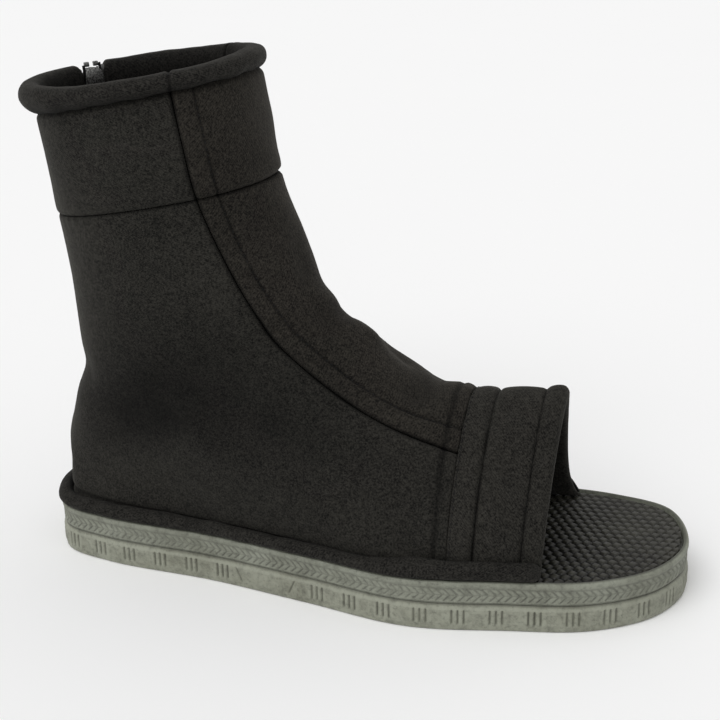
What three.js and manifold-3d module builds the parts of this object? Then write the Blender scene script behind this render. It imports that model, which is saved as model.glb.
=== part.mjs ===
// Soft ankle boot for the right foot with an open toe, a padded collar, a side zip and a moulded sole.
// Millimetres. +X points to the toes, +Y to the inner (medial) side of the foot, +Z up.
// Lengths along X are measured from the back of the heel; the finished group is moved at the end so
// that its origin lies on the ground under the middle of the sole.

import * as THREE from "three";
import { mergeVertices } from "three/addons/utils/BufferGeometryUtils.js";
import Module from "manifold-3d";

const wasm = await Module();
wasm.setup();

// ---------------------------------------------------------------- driving dimensions

const SOLE_LENGTH = 275;
const GROOVE_HEIGHT = 11.4; // top of the outsole, where a groove runs round the side
const RIM_HEIGHT = 21.5; // top of the rim that frames the footbed
const GAP = 0.3; // between pieces that touch

// Half widths of the sole, at these fractions of its length from the heel.
const WIDTH_STATIONS = [0.12, 0.3, 0.46, 0.62, 0.76, 0.88];
const HALF_WIDTH_OUTER = [33.2, 37.2, 44.3, 51.4, 45, 36.6];
const HALF_WIDTH_INNER = [34.1, 33, 32, 42.1, 45.4, 44.2];

const FOOTBED_INSET = 1.9;
const RECESS_FLOOR = 17.6;
const BOARD_THICKNESS = 0.9;
const FOOTBED_TOP = 21.2;

// The upper stands this far inside the sole's edge, with its lower edge at this height.
const UPPER_INSET = 5.5;
const FEATHER_HEIGHT = 22;

// Closed loops round the leg and foot, from the collar down. Each is a flat superellipse given by its
// front point and back point (x, z), its outer and inner half width, and its exponent.
const LOOPS = [
  { front: [98.3, 208.5], back: [6.6, 192], outer: 39, inner: 39, power: 2.2 },
  { front: [101.4, 188], back: [11.2, 168], outer: 40, inner: 39, power: 2.3 },
  { front: [104, 166.6], back: [12, 150.4], outer: 37, inner: 37, power: 2.2 },
  { front: [114, 144], back: [15, 112], outer: 37, inner: 36, power: 2.1 },
  { front: [123.8, 123.6], back: [13.8, 78], outer: 36, inner: 35, power: 2 },
  { front: [136.5, 109.3], back: [4.2, 50], outer: 34, inner: 34, power: 2 },
];
const ANKLE_SEAM = 2; // the loop that carries the seam between cuff and foot
const LAST_LOOP = LOOPS.length + 1; // the loop that lies along the sole and over the first arch
const HEEL_BUNCHING = 1.5; // turns crowd towards the heel on the lowest loop, as on the loops above
const WAIST_PINCH = 0.97; // the loop halfway down to the sole draws in by this much
const INSTEP_DIP = { drop: 7, reach: 0.3 }; // and sinks by this much on top, fading out over these turns

// Arches over the foot, from the end of the quarters to the open toe: x at the sole, x and z at the top.
const ARCH_POWER = 1.75;
const HEM_INNER_POWER = 1.35; // the inner side of the hem stands straighter
const FIRST_ARCH = { base: 185.6, top: 186.7, height: 82.3 };
const HEM_ARCH = { base: 222, top: 225.4, height: 87 };
// On the inner side the hem's foot stands this much further forward, fading out with height.
const HEM_FLARE = { reach: 4.5, power: 10 };
const HEM_RECESS = 1.2; // and the hem sinks back by this much halfway up
const BAND_SEAM = 0.27; // seam and stitch line across the toe band, as fractions between those arches
const HEM_SEAM = 0.77;

// Where the front seam crosses each loop, from the collar (0) to the first arch.
const FRONT_SEAM_TURNS = [0.328, 0.327, 0.317, 0.298, 0.27, 0.256, 0.272, 0.225];

// Layers of the upper, as depths below its outer surface.
const OUTER_CLOTH = [0, 2];
const STIFFENER = [2.6, 3.4];
const LINING = [3.9, 5];
const ZIP_TAPE = [2.6, 3.3];

// Zip on the inner side, behind the ankle.
const ZIP_TURN = 0.8; // where it stands round the loops, 0 at the front and 1 at the heel
const ZIP_END_LOOP = 3.6; // the slit ends here, and a seam goes on down to the sole
const ZIP_RISE = 13.5; // the chain goes on this far above the first loop, between the collar's ends
const SLIT_HALF_WIDTH = 6;
const CHAIN_LENGTH = 98.5;
const TOOTH_PITCH = 4;
const SLIDER_LENGTH = 9.6;

// ---------------------------------------------------------------- small helpers

const clamp = (x, low, high) => Math.min(Math.max(x, low), high);
const mix = (a, b, t) => a + (b - a) * t;
const smooth = (t) => clamp(t, 0, 1) ** 2 * (3 - 2 * clamp(t, 0, 1));
const range = (count) => Array.from({ length: count }, (_, i) => i);
const steps = (from, to, count) => range(count + 1).map((i) => mix(from, to, i / count));

function interpolate(xs, ys, x) {
  const last = xs.length - 1;
  const i = clamp(xs.findIndex((value) => value > x) - 1, 0, last - 1);
  const cell = x >= xs[last] ? last - 1 : i;
  return mix(ys[cell], ys[cell + 1], clamp((x - xs[cell]) / (xs[cell + 1] - xs[cell]), 0, 1));
}

// Uniform Catmull-Rom through numbers, with straight run-outs at both ends.
function spline(values, s) {
  const last = values.length - 1;
  const i = clamp(Math.floor(s), 0, last - 1);
  const t = s - i;
  const [b, c] = [values[i], values[i + 1]];
  const a = i > 0 ? values[i - 1] : 2 * b - c;
  const d = i + 2 <= last ? values[i + 2] : 2 * c - b;
  const square = 2 * a - 5 * b + 4 * c - d;
  const cubic = 3 * b - a - 3 * c + d;
  return 0.5 * (2 * b + (c - a) * t + square * t ** 2 + cubic * t ** 3);
}

function splineAt(points, s) {
  const [x, y, z] = ["x", "y", "z"].map((axis) => spline(points.map((p) => p[axis]), s));
  return new THREE.Vector3(x, y, z);
}

// ---------------------------------------------------------------- closed bodies from point grids

function signedVolume(points, faces) {
  const total = (sum, [a, b, c]) => sum + points[a].dot(points[b].clone().cross(points[c])) / 6;
  return faces.reduce(total, 0);
}

function bodyFrom(points, faces) {
  const flip = signedVolume(points, faces) < 0;
  const geometry = new THREE.BufferGeometry();
  const coordinates = points.flatMap((p) => p.toArray());
  geometry.setAttribute("position", new THREE.Float32BufferAttribute(coordinates, 3));
  geometry.setIndex(faces.flatMap(([a, b, c]) => (flip ? [a, c, b] : [a, b, c])));
  return geometry;
}

// A tube of closed sections, each a list of points, all of one length. The ends are joined to each
// other when the tube is a ring. Otherwise they are closed by convex patches of the section's points.
// A column for which `turned` is true has its faces split along the other diagonal.
function tubeOf(sections, { ring = false, patches = null, turned = () => false } = {}) {
  const around = sections[0].length;
  const faces = [];
  for (const i of range(ring ? sections.length : sections.length - 1)) {
    const next = (i + 1) % sections.length;
    for (const j of range(around)) {
      const k = (j + 1) % around;
      const [a, b, c, d] = [i * around + j, i * around + k, next * around + k, next * around + j];
      if (turned(j)) faces.push([a, b, d], [b, c, d]);
      else faces.push([a, b, c], [a, c, d]);
    }
  }
  const last = (sections.length - 1) * around;
  for (const patch of ring ? [] : patches ?? [range(around)]) {
    for (const j of range(patch.length - 2)) {
      const [a, b, c] = [patch[0], patch[j + 1], patch[j + 2]];
      faces.push([a, c, b], [last + a, last + b, last + c]);
    }
  }
  return bodyFrom(sections.flat(), faces);
}

// A sheet with thickness: `at(row, column, depth)` gives a point at a depth below the outer surface.
// Both of its faces are split along the same diagonals, so that they stay parallel.
function sheetOf(rows, columns, [shallow, deep], at) {
  const sections = rows.map((row) => [
    ...columns.map((column) => at(row, column, shallow)),
    ...[...columns].reverse().map((column) => at(row, column, deep)),
  ]);
  const lastUnder = 2 * columns.length - 1;
  const patches = range(columns.length - 1).map((j) => [j, j + 1, lastUnder - j - 1, lastUnder - j]);
  return tubeOf(sections, { patches, turned: (j) => j >= columns.length });
}

// ---------------------------------------------------------------- boolean joins

function toSolid(geometry) {
  const bare = geometry.clone();
  bare.deleteAttribute("normal");
  bare.deleteAttribute("uv");
  const merged = mergeVertices(bare, 1e-4);
  const vertProperties = new Float32Array(merged.attributes.position.array);
  const triVerts = new Uint32Array(merged.index.array);
  return new wasm.Manifold(new wasm.Mesh({ numProp: 3, vertProperties, triVerts }));
}

function toGeometry(solid) {
  const { vertProperties, triVerts, numProp } = solid.getMesh();
  const positions = [];
  for (let i = 0; i < vertProperties.length; i += numProp) positions.push(...vertProperties.slice(i, i + 3));
  const geometry = new THREE.BufferGeometry();
  geometry.setAttribute("position", new THREE.Float32BufferAttribute(positions, 3));
  geometry.setIndex([...triVerts]);
  return geometry;
}

const joined = (geometries) => toGeometry(geometries.map(toSolid).reduce((whole, piece) => whole.add(piece)));

function boxBetween([x0, x1], [y0, y1], [z0, z1]) {
  const box = new THREE.BoxGeometry(x1 - x0, y1 - y0, z1 - z0);
  return box.translate((x0 + x1) / 2, (y0 + y1) / 2, (z0 + z1) / 2);
}

// ---------------------------------------------------------------- sole outline

function soleOutline() {
  const at = (fraction, y) => new THREE.Vector3(fraction * SOLE_LENGTH, y, 0);
  const outer = WIDTH_STATIONS.map((fraction, i) => at(fraction, -HALF_WIDTH_OUTER[i]));
  const inner = WIDTH_STATIONS.map((fraction, i) => at(fraction, HALF_WIDTH_INNER[i])).reverse();
  const heelOuter = at(0.032, -0.75 * HALF_WIDTH_OUTER[0]);
  const toeOuter = at(0.965, -0.63 * HALF_WIDTH_OUTER[5] + 4);
  const toeInner = at(0.965, 0.72 * HALF_WIDTH_INNER[5] + 4);
  const heelInner = at(0.035, 0.72 * HALF_WIDTH_INNER[0]);
  const corners = [at(0, 0), heelOuter, ...outer, toeOuter, at(1, 6), toeInner, ...inner, heelInner];
  return new THREE.CatmullRomCurve3(corners, true, "centripetal");
}

// The outline moved inwards by `inset`, as points that start at the back of the heel and go round by
// the outer side.
function outlinePoints(inset, count) {
  const curve = soleOutline();
  return range(count).map((i) => {
    const point = curve.getPoint(i / count);
    const along = curve.getTangent(i / count);
    return new THREE.Vector3(point.x - along.y * inset, point.y + along.x * inset, 0);
  });
}

// A slab whose side follows the outline: each level is [height, inset].
function soleSlab(levels, count = 68) {
  const level = ([height, inset]) => outlinePoints(inset, count).map((p) => p.setZ(height));
  return tubeOf(levels.map(level));
}

// ---------------------------------------------------------------- outer surface of the upper

const FOOTPRINT = outlinePoints(UPPER_INSET, 720);

// Footprint of one side, from the first arch back to the heel, with running lengths.
function footprintPath(side) {
  const isOnSide = (p) => Math.sign(p.y) === side && p.x <= FIRST_ARCH.base;
  const path = FOOTPRINT.filter((p, i) => i > 0 && isOnSide(p));
  if (side < 0) path.reverse();
  path.push(FOOTPRINT[0]);
  const lengths = [0];
  for (const i of range(path.length - 1)) lengths.push(lengths[i] + path[i].distanceTo(path[i + 1]));
  return { path, lengths };
}

const FOOTPRINT_PATHS = { [-1]: footprintPath(-1), [1]: footprintPath(1) };

// Edge of the footprint's front part on one side, by rising x.
function footprintEdge(side) {
  const onSide = FOOTPRINT.filter((p) => Math.sign(p.y) === side && p.x > SOLE_LENGTH / 3);
  const sorted = onSide.sort((a, b) => a.x - b.x);
  return { xs: sorted.map((p) => p.x), ys: sorted.map((p) => Math.abs(p.y)) };
}

const FOOTPRINT_EDGES = { [-1]: footprintEdge(-1), [1]: footprintEdge(1) };

const power = (value, exponent) => Math.sign(value) * Math.abs(value) ** exponent;

// `turn` goes round a loop: 0 at the front, -1 and 1 both at the heel, negative on the outer side.
function loopPoint(loop, turn) {
  const side = turn < 0 ? -1 : 1;
  const angle = Math.abs(turn) * Math.PI;
  const back = (1 - power(Math.cos(angle), 2 / loop.power)) / 2;
  const halfWidth = side < 0 ? loop.outer : loop.inner;
  const y = side * halfWidth * Math.abs(Math.sin(angle)) ** (2 / loop.power);
  return new THREE.Vector3(mix(loop.front[0], loop.back[0], back), y, mix(loop.front[1], loop.back[1], back));
}

const archHeight = (along) => mix(FIRST_ARCH.height, HEM_ARCH.height, along);
const archPower = (side, along) => (side > 0 ? mix(ARCH_POWER, HEM_INNER_POWER, along) : ARCH_POWER);

// One arch over the toes. `along` is 0 at the first arch and 1 at the hem, and `span` is 0 at the top
// and -1 or 1 at the sole.
function archPoint(along, span) {
  const side = span < 0 ? -1 : 1;
  const angle = (Math.abs(span) * Math.PI) / 2;
  const exponent = 2 / archPower(side, along);
  const rise = Math.abs(Math.cos(angle)) ** exponent;
  const spread = Math.abs(Math.sin(angle)) ** exponent;
  const base = mix(FIRST_ARCH.base, HEM_ARCH.base, along);
  const top = mix(FIRST_ARCH.top, HEM_ARCH.top, along);
  const flare = side > 0 ? HEM_FLARE.reach * along : 0;
  const recess = side > 0 ? HEM_RECESS * along : 0;
  const x = mix(base, top, rise) + flare * (1 - rise) ** HEM_FLARE.power - recess * Math.sin(Math.PI * rise);
  const { xs, ys } = FOOTPRINT_EDGES[side];
  const y = side * interpolate(xs, ys, base + flare) * spread;
  return new THREE.Vector3(x, y, mix(FEATHER_HEIGHT, archHeight(along), rise));
}

// The lowest loop: the first arch over the front half, and the edge of the sole over the rear half.
function basePoint(turn) {
  const side = turn < 0 ? -1 : 1;
  const reach = Math.abs(turn);
  if (reach <= 0.5) return archPoint(0, side * reach * 2);
  const { path, lengths } = FOOTPRINT_PATHS[side];
  const length = (1 - (2 - 2 * reach) ** HEEL_BUNCHING) * lengths[lengths.length - 1];
  const x = interpolate(lengths, path.map((p) => p.x), length);
  const y = interpolate(lengths, path.map((p) => p.y), length);
  return new THREE.Vector3(x, y, FEATHER_HEIGHT);
}

function softSurface(loopNumber, turn) {
  const keys = LOOPS.map((loop) => loopPoint(loop, turn));
  const base = basePoint(turn);
  const middle = keys[keys.length - 1].clone().lerp(base, 0.5);
  middle.y *= WAIST_PINCH;
  middle.z -= INSTEP_DIP.drop * smooth(1 - Math.abs(turn) / INSTEP_DIP.reach);
  return splineAt([...keys, middle, base], loopNumber);
}

// The zip's stiff tape pulls the cloth round it straight, down to the end of the slit.
const ZIP_REACH = 0.17; // how far round the loops that pull is felt
const zipTop = softSurface(0, ZIP_TURN);
const zipEnd = softSurface(ZIP_END_LOOP, ZIP_TURN);

function zipPull(loopNumber) {
  const own = softSurface(loopNumber, ZIP_TURN);
  const height = clamp((own.z - zipEnd.z) / (zipTop.z - zipEnd.z), 0, 1);
  const straight = zipEnd.clone().lerp(zipTop, height);
  return height > 0 && height < 1 ? straight.sub(own) : new THREE.Vector3();
}

function surface(loopNumber, turn) {
  const wrapped = turn > 1 ? turn - 2 : turn < -1 ? turn + 2 : turn;
  const point = softSurface(loopNumber, wrapped);
  const weight = wrapped > 0 ? 1 - smooth(Math.abs(wrapped - ZIP_TURN) / ZIP_REACH) : 0;
  return weight > 0 ? point.addScaledVector(zipPull(loopNumber), weight) : point;
}

// Direction into the boot, from points above and below a place, and left and right of it.
function inwards(above, below, left, right) {
  const down = below.sub(above);
  return right.sub(left).cross(down).normalize();
}

const STEP = 0.02; // distance over which slopes of the surface are measured, in loops and in turns
const aboveSole = (point) => point.setZ(Math.max(point.z, FEATHER_HEIGHT));

// A point of the upper at a depth under its outer surface.
function upperAt(loopNumber, turn, depth) {
  const above = surface(Math.max(loopNumber - STEP, 0), turn);
  const below = surface(Math.min(loopNumber + STEP, LAST_LOOP), turn);
  const left = surface(loopNumber, turn - STEP);
  const right = surface(loopNumber, turn + STEP);
  const direction = inwards(above, below, left, right);
  return aboveSole(surface(loopNumber, turn).addScaledVector(direction, depth));
}

// A point of the toe band at a depth under its outer surface.
function bandAt(along, span, depth) {
  const above = archPoint(along - STEP, span);
  const below = archPoint(along + STEP, span);
  const left = archPoint(along, Math.max(span - STEP, -1));
  const right = archPoint(along, Math.min(span + STEP, 1));
  const direction = inwards(above, below, left, right);
  return aboveSole(archPoint(along, span).addScaledVector(direction, depth));
}

const frontSeam = (loopNumber) => spline(FRONT_SEAM_TURNS, loopNumber);

// Turn per millimetre round a loop, near a place on it.
function turnsPerMillimetre(loopNumber, turn) {
  return (2 * STEP) / surface(loopNumber, turn - STEP).distanceTo(surface(loopNumber, turn + STEP));
}

const SEAM_TURN = 0.0015; // half of the gap between two panels, round the loops
const SEAM_LOOP = 0.008; // and down the loops

// A panel over a range of loops. `turnsAt` lists the turns of its columns on a loop, edge to edge.
function panel(loops, turnsAt, layer) {
  const columns = range(turnsAt(loops[0]).length);
  return sheetOf(loops, columns, layer, (row, column, depth) => upperAt(row, turnsAt(row)[column], depth));
}

// ---------------------------------------------------------------- zip frame

const zipUp = zipTop.clone().sub(zipEnd).normalize();
const zipOut = (() => {
  const middle = ZIP_END_LOOP / 2;
  const inner = upperAt(middle, ZIP_TURN, 1);
  const normal = upperAt(middle, ZIP_TURN, 0).sub(inner);
  return normal.addScaledVector(zipUp, -normal.dot(zipUp)).normalize();
})();
const zipSide = zipOut.clone().cross(zipUp); // towards the toes
const CHAIN_DEPTH = (ZIP_TAPE[0] + ZIP_TAPE[1]) / 2;
const chainTop = zipTop.clone().addScaledVector(zipUp, ZIP_RISE).addScaledVector(zipOut, -CHAIN_DEPTH);

// Local frame of the zip: x towards the toes, y out of the boot, z up the chain from its upper end.
const zipFrame = new THREE.Matrix4().makeBasis(zipSide, zipOut, zipUp).setPosition(chainTop);
const inZip = (geometry) => geometry.applyMatrix4(zipFrame);

const TOOTH_HALF_GAP = 0.6;
const CORD_INNER = 2.1;
const CORD_OUTER = 3;
const CORD_HALF_HEIGHT = 0.6;
const TOOTH_HALF_HEIGHT = 0.95;
const TOOTH_GRIP = 0.3; // how far a tooth reaches over the cord
const FIRST_TOOTH_DROP = 0.4;
const STOP_LENGTH = 2;
const TOP_STOP_INNER = 1;

// The rear half of the zip is side 1 and the front half is side -1, because turns grow to the heel.
// In the zip's own frame the rear half therefore lies at negative x.
const onSide = (side, [near, far]) => (side > 0 ? [-far, -near] : [near, far]);
const slitTurn = (side, halfWidth) => (loopNumber) =>
  ZIP_TURN + side * halfWidth * turnsPerMillimetre(loopNumber, ZIP_TURN);

const TEETH_START = -STOP_LENGTH - GAP;
const METAL_HEIGHT = [-TOOTH_HALF_HEIGHT, TOOTH_HALF_HEIGHT];

function zipTeeth(side) {
  const cordHeight = [-CORD_HALF_HEIGHT, CORD_HALF_HEIGHT];
  const cord = boxBetween(onSide(side, [CORD_INNER, CORD_OUTER]), cordHeight, [-CHAIN_LENGTH, TEETH_START]);
  const stagger = side > 0 ? 0 : TOOTH_PITCH / 2;
  const count = Math.floor((CHAIN_LENGTH + TEETH_START - TOOTH_PITCH) / TOOTH_PITCH);
  const width = onSide(side, [TOOTH_HALF_GAP, CORD_INNER + TOOTH_GRIP]);
  const teeth = range(count).map((i) => {
    const top = TEETH_START - FIRST_TOOTH_DROP - stagger - i * TOOTH_PITCH;
    return boxBetween(width, METAL_HEIGHT, [top - TOOTH_PITCH / 2, top]);
  });
  return inZip(joined([cord, ...teeth]));
}

const zipTopStop = (side) =>
  inZip(boxBetween(onSide(side, [TOP_STOP_INNER, CORD_OUTER]), METAL_HEIGHT, [-STOP_LENGTH, 0]));

function zipBottomStop() {
  const top = -CHAIN_LENGTH - GAP;
  return inZip(boxBetween([-CORD_OUTER, CORD_OUTER], METAL_HEIGHT, [top - STOP_LENGTH, top]));
}

const TAPE_HALF_WIDTH = 12;
const TAPE_HALF_WIDTH_TOP = 4.5; // between the collar's ends

// Moves a point of the tape onto the straight line beside the cord.
function besideChain(point, side, depth) {
  const local = point.applyMatrix4(zipFrame.clone().invert());
  return local.set(-side * (CORD_OUTER + GAP), CHAIN_DEPTH - depth, local.z).applyMatrix4(zipFrame);
}

function zipTape(side) {
  const shoulder = 0.03; // the tape reaches its full width this much of a loop below the collar
  const rows = [-1, 0, ...steps(shoulder, ZIP_END_LOOP, 6)];
  const at = (row, share, depth) => {
    const loopNumber = Math.max(row, 0);
    const edge = row > 0 ? TAPE_HALF_WIDTH : TAPE_HALF_WIDTH_TOP;
    const away = mix(CORD_OUTER + GAP, edge, share);
    const point = upperAt(loopNumber, slitTurn(side, away)(loopNumber), depth);
    if (row < 0) point.addScaledVector(zipUp, ZIP_RISE - 1);
    return share > 0 ? point : besideChain(point, side, depth);
  };
  return sheetOf(rows, steps(0, 1, 3), ZIP_TAPE, at);
}

// Slider: two plates joined by a thin post between the rows of teeth, and a bail for the pull.
const SLIDER_HALF_WIDTH = 3.9;
const SLIDER_NARROW = 0.7; // its lower end is this much narrower
const PLATE_CLEARANCE = 0.35;
const PLATE_THICKNESS = 1;
const SINK = 0.2; // how far one joined piece reaches into the next
const POST_HALF_WIDTH = 0.3;
const POST_ALONG = [1, 3.6]; // along the chain, from the slider's middle
const BAIL_HALF_WIDTH = 0.9;
const BAIL_RISE = 2;
const BAIL_BAR = 0.8;
const BAIL_HALF_LENGTH = 2.6;
const PLATE_START = TOOTH_HALF_HEIGHT + PLATE_CLEARANCE;
const PLATE_END = PLATE_START + PLATE_THICKNESS;
const SLIDER_MIDDLE = TEETH_START - SINK - SLIDER_LENGTH / 2;

const alongSlider = ([low, high]) => [SLIDER_MIDDLE + low, SLIDER_MIDDLE + high];

function sliderPlate(low, high) {
  const half = SLIDER_LENGTH / 2;
  const lowerHalfWidth = SLIDER_HALF_WIDTH * SLIDER_NARROW;
  const shoulder = half * 0.2;
  const radius = SLIDER_HALF_WIDTH * 0.95;
  const shape = new THREE.Shape();
  shape.moveTo(-lowerHalfWidth, -half);
  shape.lineTo(lowerHalfWidth, -half);
  shape.lineTo(SLIDER_HALF_WIDTH, shoulder);
  shape.absarc(0, half - 0.63 * radius, radius, 0.25, Math.PI - 0.25, false);
  shape.lineTo(-SLIDER_HALF_WIDTH, shoulder);
  const settings = { depth: high - low, bevelEnabled: false, curveSegments: 6 };
  const plate = new THREE.ExtrudeGeometry(shape, settings);
  return plate.rotateX(Math.PI / 2).translate(0, high, SLIDER_MIDDLE);
}

function zipSlider() {
  const postWidth = [-POST_HALF_WIDTH, POST_HALF_WIDTH];
  const postHeight = [-PLATE_END + SINK, PLATE_END - SINK];
  const post = boxBetween(postWidth, postHeight, alongSlider(POST_ALONG));
  const bailWidth = [-BAIL_HALF_WIDTH, BAIL_HALF_WIDTH];
  const bailTop = PLATE_END + BAIL_RISE;
  const legs = [-BAIL_HALF_LENGTH, BAIL_HALF_LENGTH - BAIL_BAR].map((start) =>
    boxBetween(bailWidth, [PLATE_END - SINK, bailTop], alongSlider([start, start + BAIL_BAR])));
  const archHeight = [bailTop - SINK / 2, bailTop + BAIL_BAR];
  const arch = boxBetween(bailWidth, archHeight, alongSlider([-BAIL_HALF_LENGTH, BAIL_HALF_LENGTH]));
  const plates = [sliderPlate(PLATE_START, PLATE_END), sliderPlate(-PLATE_END, -PLATE_START)];
  return inZip(joined([...plates, post, ...legs, arch]));
}

// Pull tab: a crossbar under the bail, two arms and a blade that hangs down the chain.
const PULL_AXIS_OUT = PLATE_END + BAIL_RISE / 2;
const PULL_BAR_RADIUS = 0.55;
const PULL_HALF_THICKNESS = 0.5;
const PULL_ARM = [1.3, 2.2];
const PULL_ARM_LENGTH = 5.2;
const PULL_HALF_WIDTH = 3.4;
const PULL_LENGTH = 16;

function zipPullTab() {
  const [armInner, armOuter] = PULL_ARM;
  const thickness = [-PULL_HALF_THICKNESS, PULL_HALF_THICKNESS];
  const bar = new THREE.CylinderGeometry(PULL_BAR_RADIUS, PULL_BAR_RADIUS, 2 * armOuter, 10);
  bar.rotateZ(Math.PI / 2);
  const arms = [-1, 1].map((side) =>
    boxBetween(onSide(side, PULL_ARM), thickness, [-PULL_ARM_LENGTH, PULL_BAR_RADIUS]));
  const bladeTop = armInner - PULL_ARM_LENGTH + SINK;
  const roundMiddle = PULL_HALF_WIDTH - PULL_LENGTH;
  const blade = new THREE.Shape();
  blade.moveTo(-armOuter, bladeTop);
  blade.lineTo(-PULL_HALF_WIDTH, roundMiddle);
  blade.absarc(0, roundMiddle, PULL_HALF_WIDTH, Math.PI, 2 * Math.PI, false);
  blade.lineTo(armOuter, bladeTop);
  const settings = { depth: 2 * PULL_HALF_THICKNESS, bevelEnabled: false, curveSegments: 6 };
  const slab = new THREE.ExtrudeGeometry(blade, settings);
  slab.rotateX(Math.PI / 2).translate(0, PULL_HALF_THICKNESS, 0);
  return inZip(joined([bar, ...arms, slab]).translate(0, PULL_AXIS_OUT, SLIDER_MIDDLE));
}

// ---------------------------------------------------------------- collar

const COLLAR_SIDES = 9;
const COLLAR_WALL = 1.1;
const COLLAR_HALF_THICKNESS = 4.8;
const COLLAR_HALF_HEIGHT = { front: 3.8, back: 6.3, outerLess: 1.2, innerMore: 0.4 };
const COLLAR_OVERHANG = { front: 2, back: 6.2 }; // how far the roll stands outside the cuff
const COLLAR_END = 4.9; // the roll ends this far from the middle of the zip

const backness = (turn) => (1 - Math.cos(turn * Math.PI)) / 2;

function collarHalfHeight(turn) {
  const { front, back, outerLess, innerMore } = COLLAR_HALF_HEIGHT;
  const innerness = Math.sin(turn * Math.PI); // negative on the outer side
  return mix(front, back, backness(turn)) + innerness * (innerness > 0 ? innerMore : outerLess);
}

// The roll's middle line lies half its height above the first loop.
function collarSection(turn, radiusLess) {
  const halfHeight = collarHalfHeight(turn);
  const overhang = mix(COLLAR_OVERHANG.front, COLLAR_OVERHANG.back, backness(turn));
  const outwards = upperAt(0, turn, 0).sub(upperAt(0, turn, 1)).setZ(0).normalize();
  const middle = surface(0, turn).addScaledVector(outwards, overhang - COLLAR_HALF_THICKNESS);
  middle.z += halfHeight + GAP;
  return range(COLLAR_SIDES).map((i) => {
    const angle = (i / COLLAR_SIDES) * 2 * Math.PI;
    const out = (COLLAR_HALF_THICKNESS - radiusLess) * Math.cos(angle);
    const point = middle.clone().addScaledVector(outwards, out);
    point.z += (halfHeight - radiusLess) * Math.sin(angle);
    return point;
  });
}

const collarTurns = () => {
  const rear = slitTurn(1, COLLAR_END)(0);
  const front = slitTurn(-1, COLLAR_END)(0);
  return steps(rear - 2, front, 30);
};

// Cover of the roll: a pipe, open at both ends.
function collarCover() {
  const turns = collarTurns();
  const outside = turns.map((turn) => collarSection(turn, 0));
  const inside = turns.map((turn) => collarSection(turn, COLLAR_WALL));
  return tubeOf([...outside, ...inside.reverse()], { ring: true });
}

function collarFoam() {
  return tubeOf(collarTurns().map((turn) => collarSection(turn, COLLAR_WALL + GAP)));
}

// ---------------------------------------------------------------- upper panels

const CUFF_LOOPS = steps(0, ANKLE_SEAM - SEAM_LOOP, 4);
const HEEL_LOOPS = [4.5, 5, 5.5, 6, 6.5, 6.8];
const QUARTER_LOOPS = [ANKLE_SEAM + SEAM_LOOP, 2.5, 3, 3.5, 3.8, ...HEEL_LOOPS, LAST_LOOP - 0.004];
const LINING_LOOPS = [0.04, 1, 2, 3, 3.5, 3.8, ...HEEL_LOOPS, LAST_LOOP - 0.02];
const LINING_CLEAR = 8; // the lining stops this far from the middle of the zip

// Columns of the panels: the same turns for every layer, so that the layers stay parallel.
const WAIST_TURNS = [0.5, 0.55, 0.6, 0.65];
const COUNTER_TURNS = [0.8, 0.84];
const HEEL_TURNS = [0.88, 0.91, 0.94, 0.97];
const HEEL_SEAM_TURN = 1 - SEAM_TURN;

const behindSeam = (row) => frontSeam(row) + SEAM_TURN;
const beforeSeam = (row) => frontSeam(row) - SEAM_TURN;
const mirrored = (turns) => turns.map((turn) => -turn);
const overHeel = (turns) => [...turns].reverse().map((turn) => turn - 2);

// Edge of a panel beside the slit, `clear` from its middle; below the slit the panels meet in a seam.
function zipEdge(side, clear, row) {
  const closing = smooth((row - ZIP_END_LOOP + 0.1) / 0.3);
  return mix(slitTurn(side, clear)(row), ZIP_TURN + side * SEAM_TURN, closing);
}

const flankTurns = (row) => [...steps(behindSeam(row), 0.5, 3).slice(0, 3), ...WAIST_TURNS];
const lateralTurns = (row) => mirrored([...flankTurns(row), 0.7, 0.75, ...COUNTER_TURNS, ...HEEL_TURNS]);
const frontTurns = (row) => steps(-beforeSeam(row), beforeSeam(row), 12);
const medialTurns = (clear) => (row) => {
  const towardsZip = steps(0.7, zipEdge(-1, clear, row), 2);
  return overHeel([...flankTurns(row), ...towardsZip]);
};
const medialHeelTurns = (clear) => (row) =>
  overHeel([...steps(zipEdge(1, clear, row), 0.88, 2), ...HEEL_TURNS.slice(1)]);
const wrappedTurns = (clear) => (row) => [...lateralTurns(row), -1, ...medialHeelTurns(clear)(row)];

const cuffRear = () => panel(CUFF_LOOPS, wrappedTurns(SLIT_HALF_WIDTH), OUTER_CLOTH);
const cuffFront = () => panel(CUFF_LOOPS, frontTurns, OUTER_CLOTH);
const cuffMedial = () => panel(CUFF_LOOPS, medialTurns(SLIT_HALF_WIDTH), OUTER_CLOTH);
const heelToSeam = (row) => [...lateralTurns(row), -HEEL_SEAM_TURN];
const quarterLateral = () => panel(QUARTER_LOOPS, heelToSeam, OUTER_CLOTH);
const quarterMedialFront = () => panel(QUARTER_LOOPS, medialTurns(SLIT_HALF_WIDTH), OUTER_CLOTH);
const zipToSeam = (row) => [HEEL_SEAM_TURN - 2, ...medialHeelTurns(SLIT_HALF_WIDTH)(row)];
const quarterMedialRear = () => panel(QUARTER_LOOPS, zipToSeam, OUTER_CLOTH);
const vampGusset = () => panel(QUARTER_LOOPS, frontTurns, OUTER_CLOTH);

const liningRear = () => panel(LINING_LOOPS, wrappedTurns(LINING_CLEAR), LINING);
const liningFront = () => panel(LINING_LOOPS, frontTurns, LINING);
const liningMedial = () => panel(LINING_LOOPS, medialTurns(LINING_CLEAR), LINING);

// Stiffener round the heel, between the cloth and the lining.
function heelCounter() {
  const half = [0.75, ...COUNTER_TURNS, ...HEEL_TURNS];
  const turns = [...mirrored(half), -1, ...overHeel(half)];
  return panel(HEEL_LOOPS, () => turns, STIFFENER);
}

// ---------------------------------------------------------------- toe band

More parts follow.
